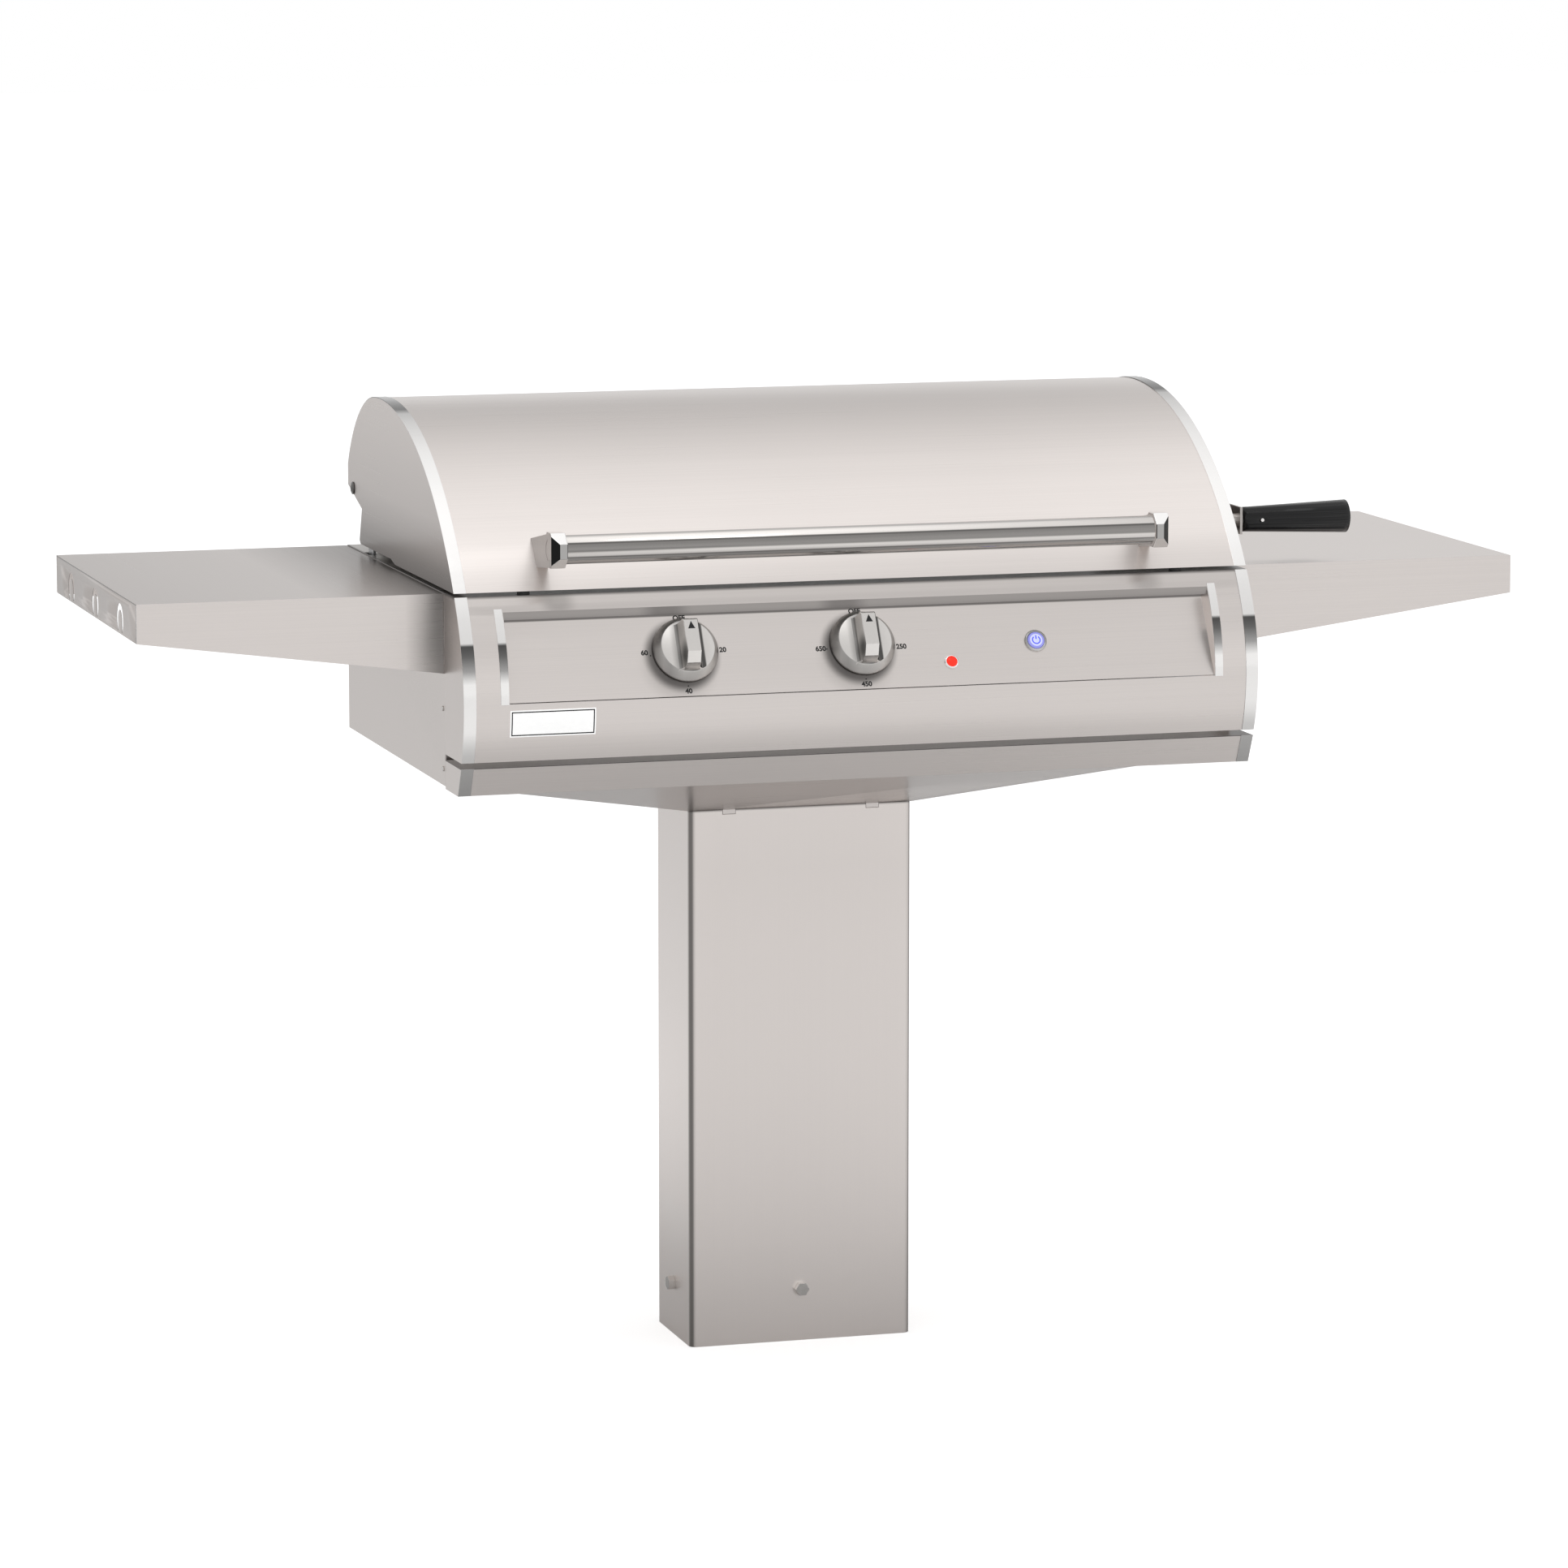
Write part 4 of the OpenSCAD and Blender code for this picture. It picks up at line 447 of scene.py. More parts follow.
def dress(piece, node, *materials, replace=True):
    """Gives a piece the body of a node and its own materials."""
    if replace:
        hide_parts(node)
    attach(piece, body_of(frame["nodes"][node])[0])
    piece.data.materials.clear()
    for material in materials:
        piece.data.materials.append(material)
    return piece


def round_edges(piece, width, turn=35):
    """Rounds every edge that turns by more than some degrees, and lets big faces rule the shading."""
    bevel = piece.modifiers.new("rounded_edges", "BEVEL")
    bevel.width = width
    bevel.segments = 2
    bevel.limit_method = "ANGLE"
    bevel.angle_limit = math.radians(turn)
    bevel.use_clamp_overlap = True
    shading = piece.modifiers.new("flat_faces_rule", "WEIGHTED_NORMAL")
    shading.keep_sharp = True
    return piece


print("helpers ready")

# %% [markdown]
# ## Painting a reflection by place
# Some dark zones on the real steel are reflections of its own neighbours, such as the hood end in the shelf
# beside it, blurred by the brushing. They could be left to the ray tracer, but it shows them too sharp or
# too faint. So a zone is laid on the metal by its place on the object, by height, along X or Y, or round a
# spot, and it stays there from any side.

# %% Zones on a metal
def by_place(tree, axis, stops):
    """Greys along one axis of the object, from stops of (millimetres, grey)."""
    split = new_node(tree, "ShaderNodeSeparateXYZ")
    link(tree, object_place(tree), split.inputs[0])
    return grey_steps(tree, split.outputs[axis], stops, MM)


def round_spot(tree, centre, inner, outer, grey):
    """Grey inside a radius round a point, and white outside a larger one, in millimetres."""
    reach = new_node(tree, "ShaderNodeVectorMath", operation="DISTANCE")
    reach.inputs[1].default_value = tuple(v * MM for v in centre)
    link(tree, object_place(tree), reach.inputs[0])
    return rescaled(tree, reach.outputs["Value"], inner * MM, outer * MM, grey, 1.0,
                    interpolation_type="SMOOTHSTEP")


def painted_light_copy(material, name, *zones, spots=()):
    """A copy of a metal with painted light, shade and reflections: its colour multiplied by zones of (axis,
    stops) and by round spots.
    """
    made = material.copy()
    made.name = name
    tree = made.node_tree
    base = tree.nodes["Principled BSDF"].inputs["Base Color"]
    layers = [by_place(tree, axis, stops) for axis, stops in zones]
    layers += [round_spot(tree, *spot) for spot in spots]
    for layer in layers:
        link(tree, mixed(tree, 1.0, base.links[0].from_socket, layer, "MULTIPLY"), base)
    return made


def plain_shade(material, name, grey):
    """Painted shade: one grey laid all over a metal."""
    return painted_light_copy(material, name, ("Z", [(0, grey), (2000, grey)]))


def repaint(piece, material, chosen):
    """Gives another material to the faces that a test chooses."""
    piece.data.materials.append(material)
    faces = [face for face in piece.data.polygons if chosen(face)]
    for face in faces:
        face.material_index = len(piece.data.materials) - 1
    print(piece.name, "repainted", len(faces), "faces with", material.name)


print("zone helpers ready")

# %% [markdown]
# ## Sheet metal
# The shells are bent sheet, 1.5 mm thick. They could be drawn again in Blender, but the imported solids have
# every hole and bend in place. So each sheet piece starts from its solid. Its flat triangles are joined into
# whole faces first, because a bevel follows real edges. A cut edge is never razor sharp: a small round on it
# catches a line of light, and that line is what makes the eye read thin steel.

# %% Sheet pieces
def sheet_piece(node, name, material, rim=0.4, turn=35):
    """A finer copy of one packed sheet, with its edges rounded by some millimetres."""
    mesh = bmesh.new()
    mesh.from_mesh(frame["nodes"][node].data)
    bmesh.ops.remove_doubles(mesh, verts=mesh.verts, dist=0.01 * MM)
    bmesh.ops.dissolve_limit(mesh, angle_limit=math.radians(0.3), verts=mesh.verts, edges=mesh.edges)
    piece = dress(as_piece(name, mesh), node, material)
    return round_edges(piece, rim * MM, turn) if rim else piece


def faces_up(face):
    return face.normal.z > 0.9 and face.center.z > 910 * MM


def faces_front_or_back(face):
    return abs(face.normal.y) > 0.9


body_side, shelf_end = 461, 805  # distance from the middle, just inside and just outside the metal
rim_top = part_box("body_shell")[1][2] / MM
post_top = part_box("post_column")[1][2] / MM
ledge_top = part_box("front_ledge")[1][2] / MM
print("rim at", round(rim_top, 1), "post top at", round(post_top, 1), "ledge top at", round(ledge_top, 1))

# %% [markdown]
# ## The post
# The post is a rectangular tube bent from sheet. Its bent corners turn away from the tent and show as dark
# lines, and its foot picks up light from the floor. Bends of the right radius alone would mirror nothing
# dark in a white tent, so the lines are zones along X and the light is a zone over height.

# %% Post
post_steel = metal("brushed_steel_post", STEEL, 0.30, (900, 900, 1.5), 0.012, 0.015, 0.015, smear=0.5,
                   smear_along=along_z)
# Painted shade: dark lines near the bent corners and a dark line at the top; painted light: a brighter foot,
# on the front and on the sides.
post_metal = painted_light_copy(
    post_steel, "steel_post_front",
    ("X", [(-133.5, 0.8), (-132.9, 0.3), (-129.8, 0.24), (-128.2, 0.8), (-126, 1.0), (126.5, 1.0), (130, 0.8),
           (131.6, 0.25), (133.5, 0.3)]),
    ("Z", [(0, 1.22), (120, 1.22), (400, 1.08), (560, 1.03), (post_top - 1.3, 1.06), (post_top - 0.9, 0.3),
           (post_top, 0.25)]))
post_side_metal = painted_light_copy(post_steel, "steel_post_side",
                         ("Z", [(0, 1.28), (150, 1.3), (400, 1.06), (post_top, 1.0)]))
post = sheet_piece("post_column", "post_with_bent_corners", post_metal)
repaint(post, post_side_metal, lambda face: abs(face.normal.x) > 0.98)
# Painted shade: the hopper under the body is darkened all over.
sheet_piece("support_hopper", "hopper_under_body", plain_shade(brushed_x, "steel_hopper", 0.86))
print("post and hopper dressed")

# %% [markdown]
# ## The firebox, its ledge and the fascia
# The firebox, the ledge under it and the fascia are plain brushed shells. Where two of them meet, the
# photograph of such a grill shows a crisp dark line, which is the shade between two sheets. A wider gap
# would do it too, but would be wrong in size. So the last half millimetre under each joint is darkened.

# %% Firebox, ledge and fascia metals
joint_shade = [(rim_top - 0.2, 0.05), (rim_top + 0.5, 0.05)]
body_metal = painted_light_copy(brushed_x, "steel_firebox", ("Z", [(0, 1.0), (rim_top - 0.6, 1.0), *joint_shade]))
ledge_metal = painted_light_copy(brushed_x, "steel_ledge", ("Z", [
    (690, 1.0), (ledge_top - 0.8, 1.0), (ledge_top - 0.3, 0.06), (ledge_top + 0.6, 0.06)]))
# Painted shade: the fascia darkens towards its top, under the hood; the two spots are painted reflections of
# the hood handle's arms.
fascia_metal = painted_light_copy(brushed_x, "steel_fascia",
                      ("Z", [(0, 1.0), (880, 1.0), (899, 0.9), (rim_top - 0.6, 0.84), *joint_shade]),
                      spots=[((-346, -293, 906), 6, 26, 0.72), ((338, -293, 906), 6, 26, 0.78)])
sheet_piece("body_shell", "firebox_shell", body_metal)
sheet_piece("front_ledge", "ledge_under_fascia", ledge_metal)
print("firebox and ledge dressed")

# %% [markdown]
# ## The control panel
# The panel lies in a recess of the fascia and leans back. The lip above it is in shade, and each knob throws
# a soft shade down to its left. Real shadows are there too, but the tent is so bright that they nearly
# vanish. Spots laid round each knob bring them back, and they are placed by the same point on the panel as
# the knob is.

# %% Places on the panel
panel_lean = math.radians(28.62492)
panel_foot = Vector((0, -327.8486, 799.2))
knob_places = {"timer": (-203, 54.8), "temperature": (1.5, 54.8)}


def panel_point(x, up, out=0.0):
    """A point on the control panel, in millimetres: to the right, up the panel and out of it."""
    return panel_foot + Vector((x, up * math.sin(panel_lean) - out * math.cos(panel_lean),
                                up * math.cos(panel_lean) + out * math.sin(panel_lean)))


print("panel top", [round(v, 1) for v in panel_point(0, 101)])

# %% Fascia and panel
lip_low, lip_high = 880, 899
knob_shades = ((4.5, 5.5, 35, 47, 0.3), (9, 18, 18, 50, 0.7))  # left, down, inner, outer, grey
# Painted shade under the lip, and a darker spot above each knob as a painted reflection of it.
lip_metal = painted_light_copy(brushed_x, "steel_under_lip", ("Z", [(lip_low, 0.42), (888.5, 0.44), (897, 0.54)]),
                   spots=[((x - 22, -299, 893), 8, 34, 0.66) for x, _ in knob_places.values()])
# Painted shadow: a dark line along the panel's top edge, under the lip; the spots are the knobs' painted
# shade.
panel_metal = painted_light_copy(brushed_x, "steel_panel", ("Z", [(798, 1.0), (882.8, 1.0), (883.7, 0.3), (889, 0.2)]),
                     spots=[(tuple(panel_point(x - left, up - down)), inner, outer, grey)
                            for x, up in knob_places.values()
                            for left, down, inner, outer, grey in knob_shades])
fascia = sheet_piece("fascia_shell", "fascia_with_recess", fascia_metal)
fascia.visible_glossy = False


def under_lip(face):
    return (lip_low * MM < face.center.z < lip_high * MM
            and (face.normal.y < -0.98 or face.normal.z < -0.9))


repaint(fascia, lip_metal, under_lip)
sheet_piece("control_panel", "tilted_control_panel", panel_metal)
print("fascia and panel dressed")

# %% [markdown]
# ## The hood
# The hood is one sheet rolled to a half barrel, closed by two flat ends. Rolled steel mirrors the tent from
# top to bottom, so it goes from bright to less bright without a single edge. The ends mirror the shelves at
# their foot and are darkest there. Both falls of light are zones over height.

# %% Hood
# Painted reflection of the tent: brighter in the middle of its height, and a little brighter towards the
# right end.
hood_metal = painted_light_copy(brushed_x, "steel_hood",
                    ("Z", [(915, 0.96), (935, 1.0), (955, 1.08), (1010, 1.08), (1050, 1.04), (1080, 0.99),
                           (1102, 0.96)]),
                    ("X", [(-body_side, 1.0), (200, 1.0), (body_side, 1.05)]))
hood_end_metal = painted_light_copy(brushed_y, "steel_hood_end", ("Z", [
    (912, 0.36), (935, 0.45), (960, 0.68), (990, 0.88), (1060, 1.0), (1102, 1.05)]))
sheet_piece("hood_skin", "rolled_hood_skin", hood_metal)
sheet_piece("hood_side_left", "hood_end_left", hood_end_metal)
sheet_piece("hood_side_right", "hood_end_right", hood_end_metal)
print("hood dressed")

# %% [markdown]
# ## The shelves
# Each shelf is one sheet, bent down at its edges, and the left one has three hooks cut in its end. Close to
# the firebox the steel mirrors the hood and the firebox and is dark. The cut faces see little light.
# The hooks' solid is as thick as the sheet, and its slots would look like tubes from the side. The piece
# that stands for it is thinner, with the outer face in the same place.

# %% Left shelf and its hooks
# Painted reflection: the shelf top is darkest next to the firebox and a little darker at its outer end.
shelf_top_left = painted_light_copy(brushed_y, "steel_shelf_top_left", ("X", [
    (-shelf_end, 0.74), (-700, 0.8), (-600, 0.84), (-560, 0.72), (-500, 0.5), (-body_side, 0.4)]))
# Painted shade on the hooks: darker towards the back.
shelf_end_metal = painted_light_copy(brushed_y, "steel_shelf_end", ("Y", [(-240, 0.86), (240, 0.76)]))
apron_metal = painted_light_copy(brushed_x, "steel_apron_left", ("X", [
    (-shelf_end, 1.0), (-505, 1.0), (-485, 0.72), (-468, 0.42), (-body_side, 0.35)]))
cut_metal = painted_light_copy(brushed_x, "steel_cut_edge", ("Z", [(800, 0.3), (905, 0.3), (912, 0.42)]))
left_shelf = sheet_piece("shelf_left", "tool_shelf_left", brushed_y)
repaint(left_shelf, shelf_top_left, faces_up)
repaint(left_shelf, apron_metal, faces_front_or_back)
repaint(left_shelf, cut_metal, lambda face: face.normal.x < -0.9 and face.center.x < -803 * MM)
hooks = sheet_piece("shelf_hooks", "tool_hooks_left", shelf_end_metal, 0)
hooks_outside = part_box("shelf_hooks")[0][0]
for vertex in hooks.data.vertices:
    if vertex.co.x > hooks_outside + 0.8 * MM:
        vertex.co.x = hooks_outside + 0.4 * MM
repaint(hooks, cut_metal, lambda face: abs(face.normal.x) < 0.5)
print("left shelf dressed")

# %% Right shelf and the lift handle's arm
# Painted shadow of the lift handle's grip: two soft spots on the shelf top; the apron gets painted shade next
# to the firebox.
shelf_top_right = painted_light_copy(brushed_y, "steel_shelf_top_right", ("X", [(body_side, 1.02), (shelf_end, 1.0)]),
                         spots=[((546, -236, 912), 8, 46, 0.8), ((505, -232, 912), 8, 40, 0.88)])
apron_right = painted_light_copy(brushed_x, "steel_apron_right", ("X", [(body_side, 0.8), (480, 1.0), (shelf_end, 1.0)]))
right_shelf = sheet_piece("shelf_right", "plain_shelf_right", brushed_y)
repaint(right_shelf, shelf_top_right, faces_up)
repaint(right_shelf, apron_right, faces_front_or_back)
# Painted shade: the lift handle's arm is darkened all over.
sheet_piece("side_handle_arm", "lift_handle_arm", plain_shade(brushed_y, "steel_lift_arm", 0.62))
print("right shelf dressed")

# %% [markdown]
# ## Polished strips
# Narrow polished strips frame the fascia, its recess, the hood ends and the ledge. So narrow a mirror shows
# one thing at each height: the pale tent, one dark band where the tent meets the floor, and then the floor.
# A true mirror would need that floor edge built in the scene. The recipe lays the order on by height instead.

# %% Strips
bright_strip = metal("strip_steel", (0.98, 0.965, 0.95), 0.12, (3, 300, 300), 0.01, 0.015, 0.008)
front_strip = painted_light_copy(bright_strip, "strip_on_front", ("Z", [
    (690, 0.8), (742, 0.8), (770, 1.0), (822, 1.0), (836, 0.42), (852, 0.17), (863, 0.1), (866, 0.95),
    (920, 1.0)]))
hood_strip = painted_light_copy(bright_strip, "strip_on_hood", ("Z", [
    (915, 1.02), (1060, 1.02), (1084, 0.95), (1091, 0.8), (1094, 0.2), (1102, 0.2)]))
# Painted shade: the ledge strips are darkened, most at their foot.
ledge_strip = painted_light_copy(bright_strip, "strip_on_ledge", ("Z", [(690, 0.5), (730, 0.6)]))
for node, name, material in (("fascia_trims", "strips_at_fascia_ends", front_strip),
                             ("recess_strips", "strips_at_recess_ends", front_strip),
                             ("ledge_strips", "strips_at_ledge_ends", ledge_strip),
                             ("hood_trims", "strips_on_hood_ends", hood_strip)):
    sheet_piece(node, name, material, 0.3)
print("strips made")

# %% [markdown]
# ## The hood handle
# A tube of 32 mm runs between two faceted end blocks, and two flat arms carry the blocks. The tube is satin,
# so its reflections run along it as clean bands; these bands are painted on it by height as light and dark
# stripes. The imported tube is made of flat strips, and its bands would break at each of them. Spinning a
# profile in many steps gives a tube that is round to the eye.

# %% Sizes of the handle, from the frame
tube_low, tube_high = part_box("handle_tube")
block_low, block_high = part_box("handle_blocks")
handle_x = (tube_high[0] + tube_low[0]) / 2
tube_y, tube_z = (tube_low[1] + tube_high[1]) / 2, (tube_low[2] + tube_high[2]) / 2
tube_r, tube_half = (tube_high[2] - tube_low[2]) / 2, (tube_high[0] - tube_low[0]) / 2
block_half, block_end = (block_high[2] - block_low[2]) / 2, block_high[0] - handle_x
print("tube", round(2 * tube_half / MM), "mm long and", round(2 * tube_r / MM), "mm thick")

# %% Handle tube
def lathe(name, profile, place, steps=96):
    """Spins a profile of (radius, height), in millimetres, about the local Z axis of a matrix."""
    mesh = bmesh.new()
    rings = []
    for radius, height in profile:
        if radius == 0:
            rings.append([mesh.verts.new((0, 0, height * MM))])
            continue
        angles = [2 * math.pi * k / steps for k in range(steps)]
        rings.append([mesh.verts.new((radius * MM * math.cos(a), radius * MM * math.sin(a), height * MM))
                      for a in angles])
    for below, above in zip(rings, rings[1:]):
        for k in range(steps):
            corners = [below[k % len(below)], below[(k + 1) % len(below)],
                       above[(k + 1) % len(above)], above[k % len(above)]]
            unique = list(dict.fromkeys(corners))
            if len(unique) > 2:
                mesh.faces.new(unique)
    bmesh.ops.recalc_face_normals(mesh, faces=mesh.faces)
    mesh.transform(place)
    return as_piece(name, mesh)


# Painted reflections: light and dark bands laid on the tube by height.
tube_painted_reflection_bands = painted_light_copy(tube_steel, "tube_painted_reflection_bands", ("Z", [
    (949, 0.5), (951.3, 0.62), (957.6, 0.6), (958.2, 0.34), (959.2, 0.38), (959.9, 1.0), (963.6, 1.12),
    (965.2, 0.45), (972.6, 0.4), (973.6, 0.22), (974.6, 0.28), (975.4, 1.25), (980, 1.32), (980.8, 0.95),
    (983, 0.8)]))
radius, half, bore = tube_r / MM, tube_half / MM, 14
edge = 0.4
tube_profile = [(bore, -half), (radius - edge, -half), (radius, edge - half),
                (radius, half - edge), (radius - edge, half), (bore, half)]
along_tube = Matrix.Translation((handle_x, tube_y, tube_z)) @ Matrix.Rotation(math.radians(90), 4, "Y")
tube = dress(lathe("handle_tube_satin", tube_profile, along_tube), "handle_tube", tube_painted_reflection_bands)
tube.visible_glossy = False
print("tube made")

# %% [markdown]
# ## The end blocks
# The blocks are bright castings: short octagons along the tube, with the front corner of the free end cut
# off at 45 degrees. They could be bevelled boxes, but the facets of a bevel are hard to aim. Here each is a
# stack of octagons that one plane cuts, and each group of facets gets the grey that it mirrors.

# %% Handle end blocks
block_cut = 8.4 * MM
block_rim = 0.8 * MM


def octagon(half):
    """Corners of an octagon with flats at the given half width."""
    corner = half / math.cos(math.pi / 8)
    turns = [math.pi / 8 + k * math.pi / 4 for k in range(8)]
    return [(corner * math.cos(turn), corner * math.sin(turn)) for turn in turns]


def end_block(mesh, side):
    """One block, from the tube's end outwards on one side of the handle."""
    rings = []
    for reach, half in ((tube_half, block_half - block_rim), (tube_half + block_rim, block_half),
                        (block_end - 0.3 * MM, block_half)):
        rings.append([mesh.verts.new((handle_x + side * reach, tube_y + y, tube_z + z))
                      for y, z in octagon(half)])
    for below, above in zip(rings, rings[1:]):
        for k in range(8):
            mesh.faces.new((below[k], below[(k + 1) % 8], above[(k + 1) % 8], above[k]))
    mesh.faces.new(rings[0])
    mesh.faces.new(rings[-1])
    corner = (handle_x + side * (block_end - block_cut), tube_y - block_half, tube_z)
    cut = bmesh.ops.bisect_plane(mesh, geom=mesh.verts[:] + mesh.edges[:] + mesh.faces[:], plane_co=corner,
                                 plane_no=(side, -1, 0), clear_outer=True)
    rim = [part for part in cut["geom_cut"] if isinstance(part, bmesh.types.BMEdge)]
    bmesh.ops.edgeloop_fill(mesh, edges=rim)


mesh = bmesh.new()
for side in (-1, 1):
    end_block(mesh, side)
bmesh.ops.recalc_face_normals(mesh, faces=mesh.faces)
blocks = dress(as_piece("handle_end_blocks", mesh), "handle_blocks", bright_strip)
print("blocks have", len(blocks.data.polygons), "facets")

# %% Facets and arms
dark_facet = metal("facet_in_shade", (0.02, 0.02, 0.02), 0.15, (200, 200, 200), 0.05, 0.02, 0.01)
# Painted shade: the outer faces of the end blocks and the arms' sides are darkened, more so lower down.
cheek_metal = painted_light_copy(brushed_z, "steel_handle_cheek", ("Z", [
    (938, 0.25), (950, 0.29), (970, 0.34), (985, 0.4)]))
repaint(blocks, plain_shade(polished, "steel_block_front", 0.52),
        lambda face: abs(face.normal.x) < 0.2 and face.normal.y < -0.9)
repaint(blocks, plain_shade(polished, "steel_block_foot", 0.72),
        lambda face: abs(face.normal.x) < 0.9 and face.normal.z < -0.6)
repaint(blocks, dark_facet, lambda face: 0.5 < abs(face.normal.x) < 0.9 and face.normal.y < -0.6)
repaint(blocks, cheek_metal, lambda face: abs(face.normal.x) > 0.99)
round_edges(blocks, 0.5 * MM, 20)
blocks.visible_glossy = False
# Painted shade: the arms are darkened all over.
arms = sheet_piece("handle_arms", "handle_cast_arms", plain_shade(brushed_z, "steel_handle_arm", 0.85), 1.0)
repaint(arms, cheek_metal, lambda face: abs(face.normal.x) > 0.9)
print("blocks and arms made")

# %% [markdown]
# ## Controls
# The control panel leans back by 28.6 degrees. Each control could be turned and moved by hand. One matrix
# per control is safer: its X runs to the right, its Y up the panel and its Z out of it, and everything on
# the panel is made flat in that matrix.

# %% Panel matrix
def on_panel(x, up, out=0.0):
    """The matrix of a spot on the panel. Values are in millimetres."""
    right = Vector((1, 0, 0))
    rise = Vector((0, math.sin(panel_lean), math.cos(panel_lean)))
    outward = right.cross(rise)
    return (Matrix.Translation(panel_point(x, up, out) * MM)
            @ Matrix((right, rise, outward)).transposed().to_4x4())


print("panel outward", [round(v, 3) for v in on_panel(0, 0).to_3x3().col[2]])

# %% [markdown]
# ## Knobs
# Each knob is a metal dial: a cone with a flat face and a bar across it. The bar's flanks are hollow, so a
# finger fits against them, and its lower end is cut off at a slant. The pointer is a black triangle. The bar
# could be a box with loops cut in it. Rows of points across it, with a height for each row, give the hollow,
# the slant and the rounded nose at once.

# %% Dial of a knob
dial_profile = ((3.2, 0.5), (36.6, 0.5), (37.3, 0.9), (37.5, 1.6), (37.4, 2.8), (36.8, 3.8), (31.0, 13.8),
                (30.2, 14.6), (29.3, 15.0), (0, 15.0))


def across(x, *stops):
    """A zone along X with its stops counted from the middle of a knob."""
    return "X", [(x + place, grey) for place, grey in stops]


def knob_dial(name, node, x, place):
    """The cone and the flat face, each with its own painted light and shade; the face has a painted shadow
    beside the bar's right flank.
    """
    skirt = painted_light_copy(knob_satin, name + "_skirt",
                   across(x, (-38, 0.2), (-35, 0.42), (-29, 0.62), (-22, 0.56), (-8, 0.86), (18, 0.92),
                          (30, 0.66), (35, 0.5), (38, 0.12)))
    face = painted_light_copy(knob_satin, name + "_face",
                  across(x, (-32, 0.94), (-20, 1.0), (-15, 0.74), (-12, 0.66), (14, 0.14), (17, 0.14),
                         (18.4, 0.98), (31, 1.1)))
    outward = place.to_3x3().col[2]
    dial = dress(lathe(name + "_dial", dial_profile, place, 128), node, skirt)
    repaint(dial, face, lambda polygon: polygon.normal.dot(outward) > 0.9)


print("dial profile has", len(dial_profile), "points")

# %% Shape of the bar
bar_top = 38.0
slant_foot, slant_start, nose_start = -25.4, -15.0, 21.0
bar_rows = (-29.0, -27.2, slant_foot, slant_start, -8, 0, 8, 15, nose_start, 23.6, 24.8)
bar_flank = ((14.0, 14.6), (11.6, 16.0), (10.0, 18.5), (9.0, 22.0), (8.45, 27.0), (8.3, 33.0), (8.3, 37.2),
             (7.6, bar_top))


def bar_height(along):
    """Height of the bar's top at a row: steep at the foot, slanted, flat, and rounded at the nose."""
    if along < slant_foot:
        return 29.0 - (slant_foot - along) * 4.1
    if along < slant_start:
        return bar_top - min(9.0, (slant_start - along) * 0.865)
    if along > nose_start:
        return bar_top - (along - nose_start) ** 2 * 0.3
    return bar_top


def bar_mesh():
    """The bar with hollow flanks, made flat round the middle of the dial."""
    mesh = bmesh.new()
    rows = []
    for along in bar_rows:
        top = bar_height(along)
        left = [(-half, min(height, top - (bar_top - height) * 0.1)) for half, height in bar_flank]
        right = [(-x, height) for x, height in left[::-1]]
        rows.append([mesh.verts.new((x * MM, along * MM, height * MM)) for x, height in left + right])
    for near, far in zip(rows, rows[1:]):
        for k in range(len(near) - 1):
            mesh.faces.new((near[k], near[k + 1], far[k + 1], far[k]))
    mesh.faces.new(rows[0])
    mesh.faces.new(rows[-1])
    bmesh.ops.recalc_face_normals(mesh, faces=mesh.faces)
    return mesh


print("bar", bar_rows[-1] - bar_rows[0], "mm long")

# %% Bar and pointer of a knob
pointer = ((-4.1, 11.4), (4.1, 11.4), (0, 20.2))
pointer_height = 38.08


def knob_bar(name, node, x, up, place):
    """The bar across the dial, with painted shade on its flanks and a painted highlight with a faint glow on
    its slant.
    """
    left_flank = painted_light_copy(knob_satin, name + "_left_flank",
                        across(x, (-14.2, 0.5), (-10.3, 0.4), (-9.9, 0.85), (-8.2, 0.95)),
                        spots=[(tuple(panel_point(x - 9, up - 16, 30)), 3, 22, 0.16)])
    right_flank = painted_light_copy(knob_metal, name + "_right_flank", across(x, (8, 0.12), (11, 0.2), (14, 0.6)))
    # Painted highlight: the slant is lightened past its own colour and glows faintly.
    slant = painted_light_copy(knob_satin, name + "_slant", across(x, (-12, 1.1), (12, 1.15)))
    set_inputs(slant.node_tree.nodes["Principled BSDF"],
               {"Emission Color": (1, 0.97, 0.95, 1), "Emission Strength": 0.05})
    mesh = bar_mesh()
    mesh.transform(place)
    bar = dress(as_piece(name + "_bar", mesh), node, knob_metal, replace=False)
    rise = place.to_3x3().col[1]
    repaint(bar, left_flank, lambda face: face.normal.x < -0.35)
    repaint(bar, right_flank, lambda face: face.normal.x > 0.35)
    repaint(bar, slant, lambda face: -0.95 < face.normal.dot(rise) < -0.5 and abs(face.normal.x) < 0.35)
    round_edges(bar, 0.5 * MM, 28)


def knob_pointer(name, node, place):
    """The black triangle on the bar."""
    mesh = bmesh.new()
    mesh.faces.new([mesh.verts.new((x * MM, up * MM, pointer_height * MM)) for x, up in pointer])
    mesh.transform(place)
    dress(as_piece(name + "_pointer", mesh, False), node, ink, replace=False)


for name, (x, up) in knob_places.items():
    place = on_panel(x, up)
    knob_dial(name, name + "_knob", x, place)
    knob_bar(name, name + "_knob", x, up, place)
    knob_pointer(name, name + "_knob", place)
print("two knobs")

# %% [markdown]
# ## Power button and lamp
# The button is a lit disc in a bright ring, with the plain standby sign on it. The lamp is a red lens in a
# conical bezel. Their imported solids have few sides, and a ring so small and so bright shows every one. So
# each is spun again from a profile, and both lenses shine a little by themselves.

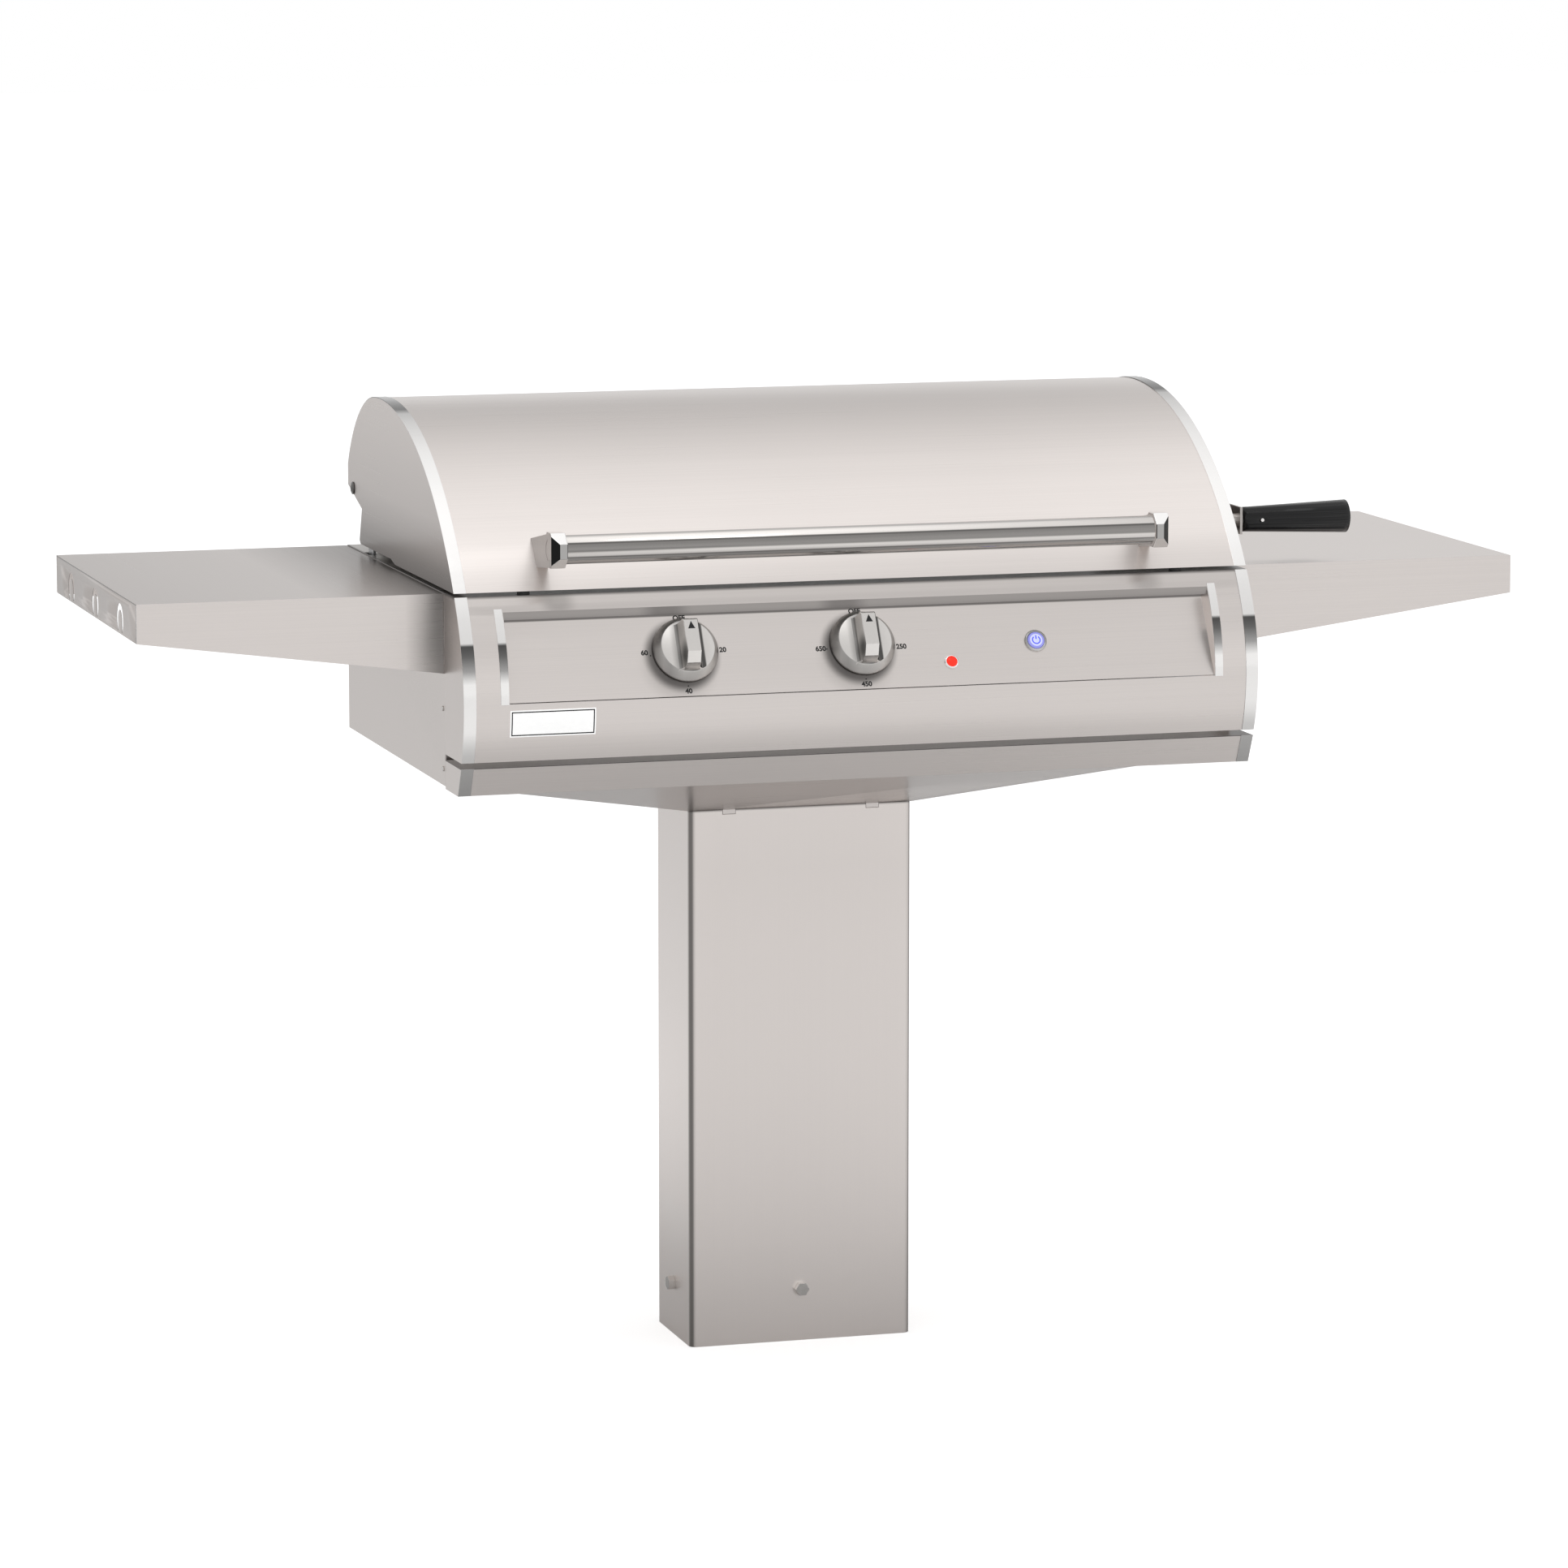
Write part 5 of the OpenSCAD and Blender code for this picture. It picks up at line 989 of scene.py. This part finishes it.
# %% Standby sign
def sign(name, place, radius, width, out):
    """The standby sign: an open ring and an upright bar."""
    opening, steps = 70, 40
    mesh = bmesh.new()
    rows = []
    for k in range(steps + 1):
        angle = math.radians(90 + opening / 2 + (360 - opening) * k / steps)
        rows.append([mesh.verts.new((r * math.cos(angle) * MM, r * math.sin(angle) * MM, out * MM))
                     for r in (radius - width / 2, radius + width / 2)])
    for near, far in zip(rows, rows[1:]):
        mesh.faces.new((near[0], near[1], far[1], far[0]))
    foot, head = radius * 0.2, radius * 1.25
    corners = ((-1, foot), (1, foot), (1, head), (-1, head))
    mesh.faces.new([mesh.verts.new((side * width / 2 * MM, y * MM, out * MM)) for side, y in corners])
    mesh.transform(place)
    return as_piece(name, mesh, False)


print("sign ready")

# %% Power button
power_place = on_panel(204.3, 49.8)
# Painted reflection: the ring is bright at its foot and darker towards its top.
ring_metal = painted_light_copy(bright_strip, "steel_power_ring", ("Z", [
    (825, 1.0), (832, 0.75), (840, 0.45), (856, 0.35)]))
ring_profile = ((9.7, 0.05), (9.7, 2.3), (10.1, 2.8), (11.0, 3.0), (12.2, 2.6), (12.8, 1.7), (13.0, 0.05))
disc_profile = ((9.5, 0.4), (9.5, 3.1), (9.2, 3.5), (8.6, 3.6), (0, 3.6))
core_profile = ((7.2, 3.61), (6.6, 3.64), (0, 3.64))
dress(lathe("power_ring", ring_profile, power_place), "power_bezel", ring_metal)
dress(lathe("power_lit_face", disc_profile, power_place), "power_button", button_blue)
dress(lathe("power_lit_core", core_profile, power_place), "power_button", button_core, replace=False)
dress(sign("power_sign", power_place, 4.4, 1.3, 3.7), "power_button", symbol_blue, replace=False)
print("button made")

# %% Lamp
lamp_place = on_panel(102.3, 28.8)
lens_radius, lens_foot, lens_rise = 6.0, 1.6, 2.0
bezel_profile = ((6.1, 0.05), (6.1, 1.9), (6.4, 2.4), (6.9, 2.5), (8.2, 1.2), (8.5, 0.05))
dome = [(lens_radius * math.cos(a), lens_foot + lens_rise * math.sin(a))
        for a in (math.radians(15 * k) for k in range(1, 6))]
lens_profile = [(lens_radius, 0.3), (lens_radius, lens_foot), *dome, (0, lens_foot + lens_rise)]
dress(lathe("lamp_ring", bezel_profile, lamp_place), "lamp_bezel", bright_strip)
dress(lathe("lamp_red_lens", lens_profile, lamp_place), "lamp_lens", lamp_red)
print("lamp made")

# %% [markdown]
# ## Numbers on the dials
# The dials carry minutes and degrees, and OFF at the top, printed in dark ink. A picture of the print could
# be laid on the panel. Text objects stay sharp at any distance, and they lie a hair above the panel, as ink
# does.

# %% Dial numbers
capital_height = 5.4
capital_share = 0.68  # of the type size
ink_spread = 0.3
ink_thickness = 0.02


def printed(text, x, up):
    """Print on the panel, centred on a spot."""
    curve = bpy.data.curves.new("print_" + text, "FONT")
    curve.body = text
    curve.align_x = curve.align_y = "CENTER"
    curve.size = capital_height / capital_share * MM
    curve.offset = ink_spread * MM
    curve.extrude = ink_thickness * MM
    word = bpy.data.objects.new("print_%s_%d" % (text, round(x) + 500), curve)
    bpy.context.collection.objects.link(word)
    word.matrix_world = on_panel(x, up, 0.06)
    dress(word, "control_panel", ink, replace=False)


def dot(name, x, up):
    """A round dot between a dial and its number."""
    dot_radius, dot_height = 0.8, 0.06
    profile = ((dot_radius, 0), (dot_radius, dot_height), (0, dot_height))
    dress(lathe(name, profile, on_panel(x, up, 0.02), 24), "control_panel", ink, replace=False)


for text, x, up in (("OFF", -205, 93.3), ("60", -249.6, 53.6), ("20", -159.8, 53.8), ("40", -205, 6.7),
                    ("OFF", -1.9, 93.6), ("650", -47.1, 50.3), ("250", 46.6, 49.4), ("450", 0.2, 6.5)):
    printed(text, x, up)
for count, (x, up) in enumerate(((-243, 50.2), (-204.8, 12.8), (-40.0, 50.0), (0.2, 12.6))):
    dot("dial_dot_%d" % count, x, up)
print("numbers printed")

# %% [markdown]
# ## The plate
# The plate is a thin white label with a dark border, bent to the curve of the fascia. The border could be a
# second material on the plate's faces, but the plate has only a few long faces. So four narrow bands are
# laid on it, and each finds the plate's front at its own height.

# %% Plate
plate = sheet_piece("nameplate", "bare_plate", plate_white_painted_glow, 0.2)
plate_low, plate_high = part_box("nameplate")
front_faces = [face for face in plate.data.polygons if face.normal.y < -0.8]
front_corners = [plate.data.vertices[k].co for face in front_faces for k in face.vertices]
front_at = {round(corner.z, 5): corner.y for corner in front_corners}
levels = sorted(front_at)


def plate_front(height):
    """Y of the plate's front at a height, along the bent plate."""
    for low, high in zip(levels, levels[1:]):
        if low <= height <= high:
            return front_at[low] + (front_at[high] - front_at[low]) * (height - low) / (high - low)
    return front_at[levels[0]]


print("plate", [round((h - l) / MM, 1) for l, h in zip(plate_low, plate_high)])

# %% Border of the plate
inset, line, proud = 1.5 * MM, 1.3 * MM, 0.08 * MM
x0, x1 = plate_low[0] + inset, plate_high[0] - inset
z0, z1 = levels[0] + inset, levels[-1] - inset
mesh = bmesh.new()
for left, right, low, high in ((x0, x1, z1 - line, z1), (x0, x1, z0, z0 + line),
                               (x0, x0 + line, z0, z1), (x1 - line, x1, z0, z1)):
    heights = [low + (high - low) * k / 8 for k in range(9)]
    rows = [[mesh.verts.new((x, plate_front(z) - proud, z)) for x in (left, right)] for z in heights]
    for below, above in zip(rows, rows[1:]):
        mesh.faces.new((below[0], below[1], above[1], above[0]))
dress(as_piece("plate_border", mesh, False), "nameplate", ink, replace=False)
print("border", round(line / MM, 1), "mm wide")

# %% [markdown]
# ## Fasteners and the lift handle
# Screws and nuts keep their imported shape. They could be left alone, but a small round on each edge makes
# their facets catch the light one by one. The grip and the pin of the lift handle only get their finish.

# %% Fasteners and grip
dark_bolt = plain_shade(fastener, "bolt_in_shade", 0.22)
for node, name, rim in (("post_bolts", "post_hex_bolts", 0.5), ("seam_screws", "seam_small_screws", 0.2),
                        ("hinge_bolts", "hinge_bolt_heads", 0.2), ("shelf_bolts", "shelf_bolt_heads", 0.3),
                        ("handle_screws", "handle_arm_screws", 0.2)):
    sheet_piece(node, name, dark_bolt if node == "hinge_bolts" else finishes[slot_of[node]], rim, 25)
sheet_piece("side_handle_grip", "lift_handle_grip", gloss_black, 0)
sheet_piece("side_handle_pin", "lift_handle_pin", polished, 0.2)
print("small parts made")
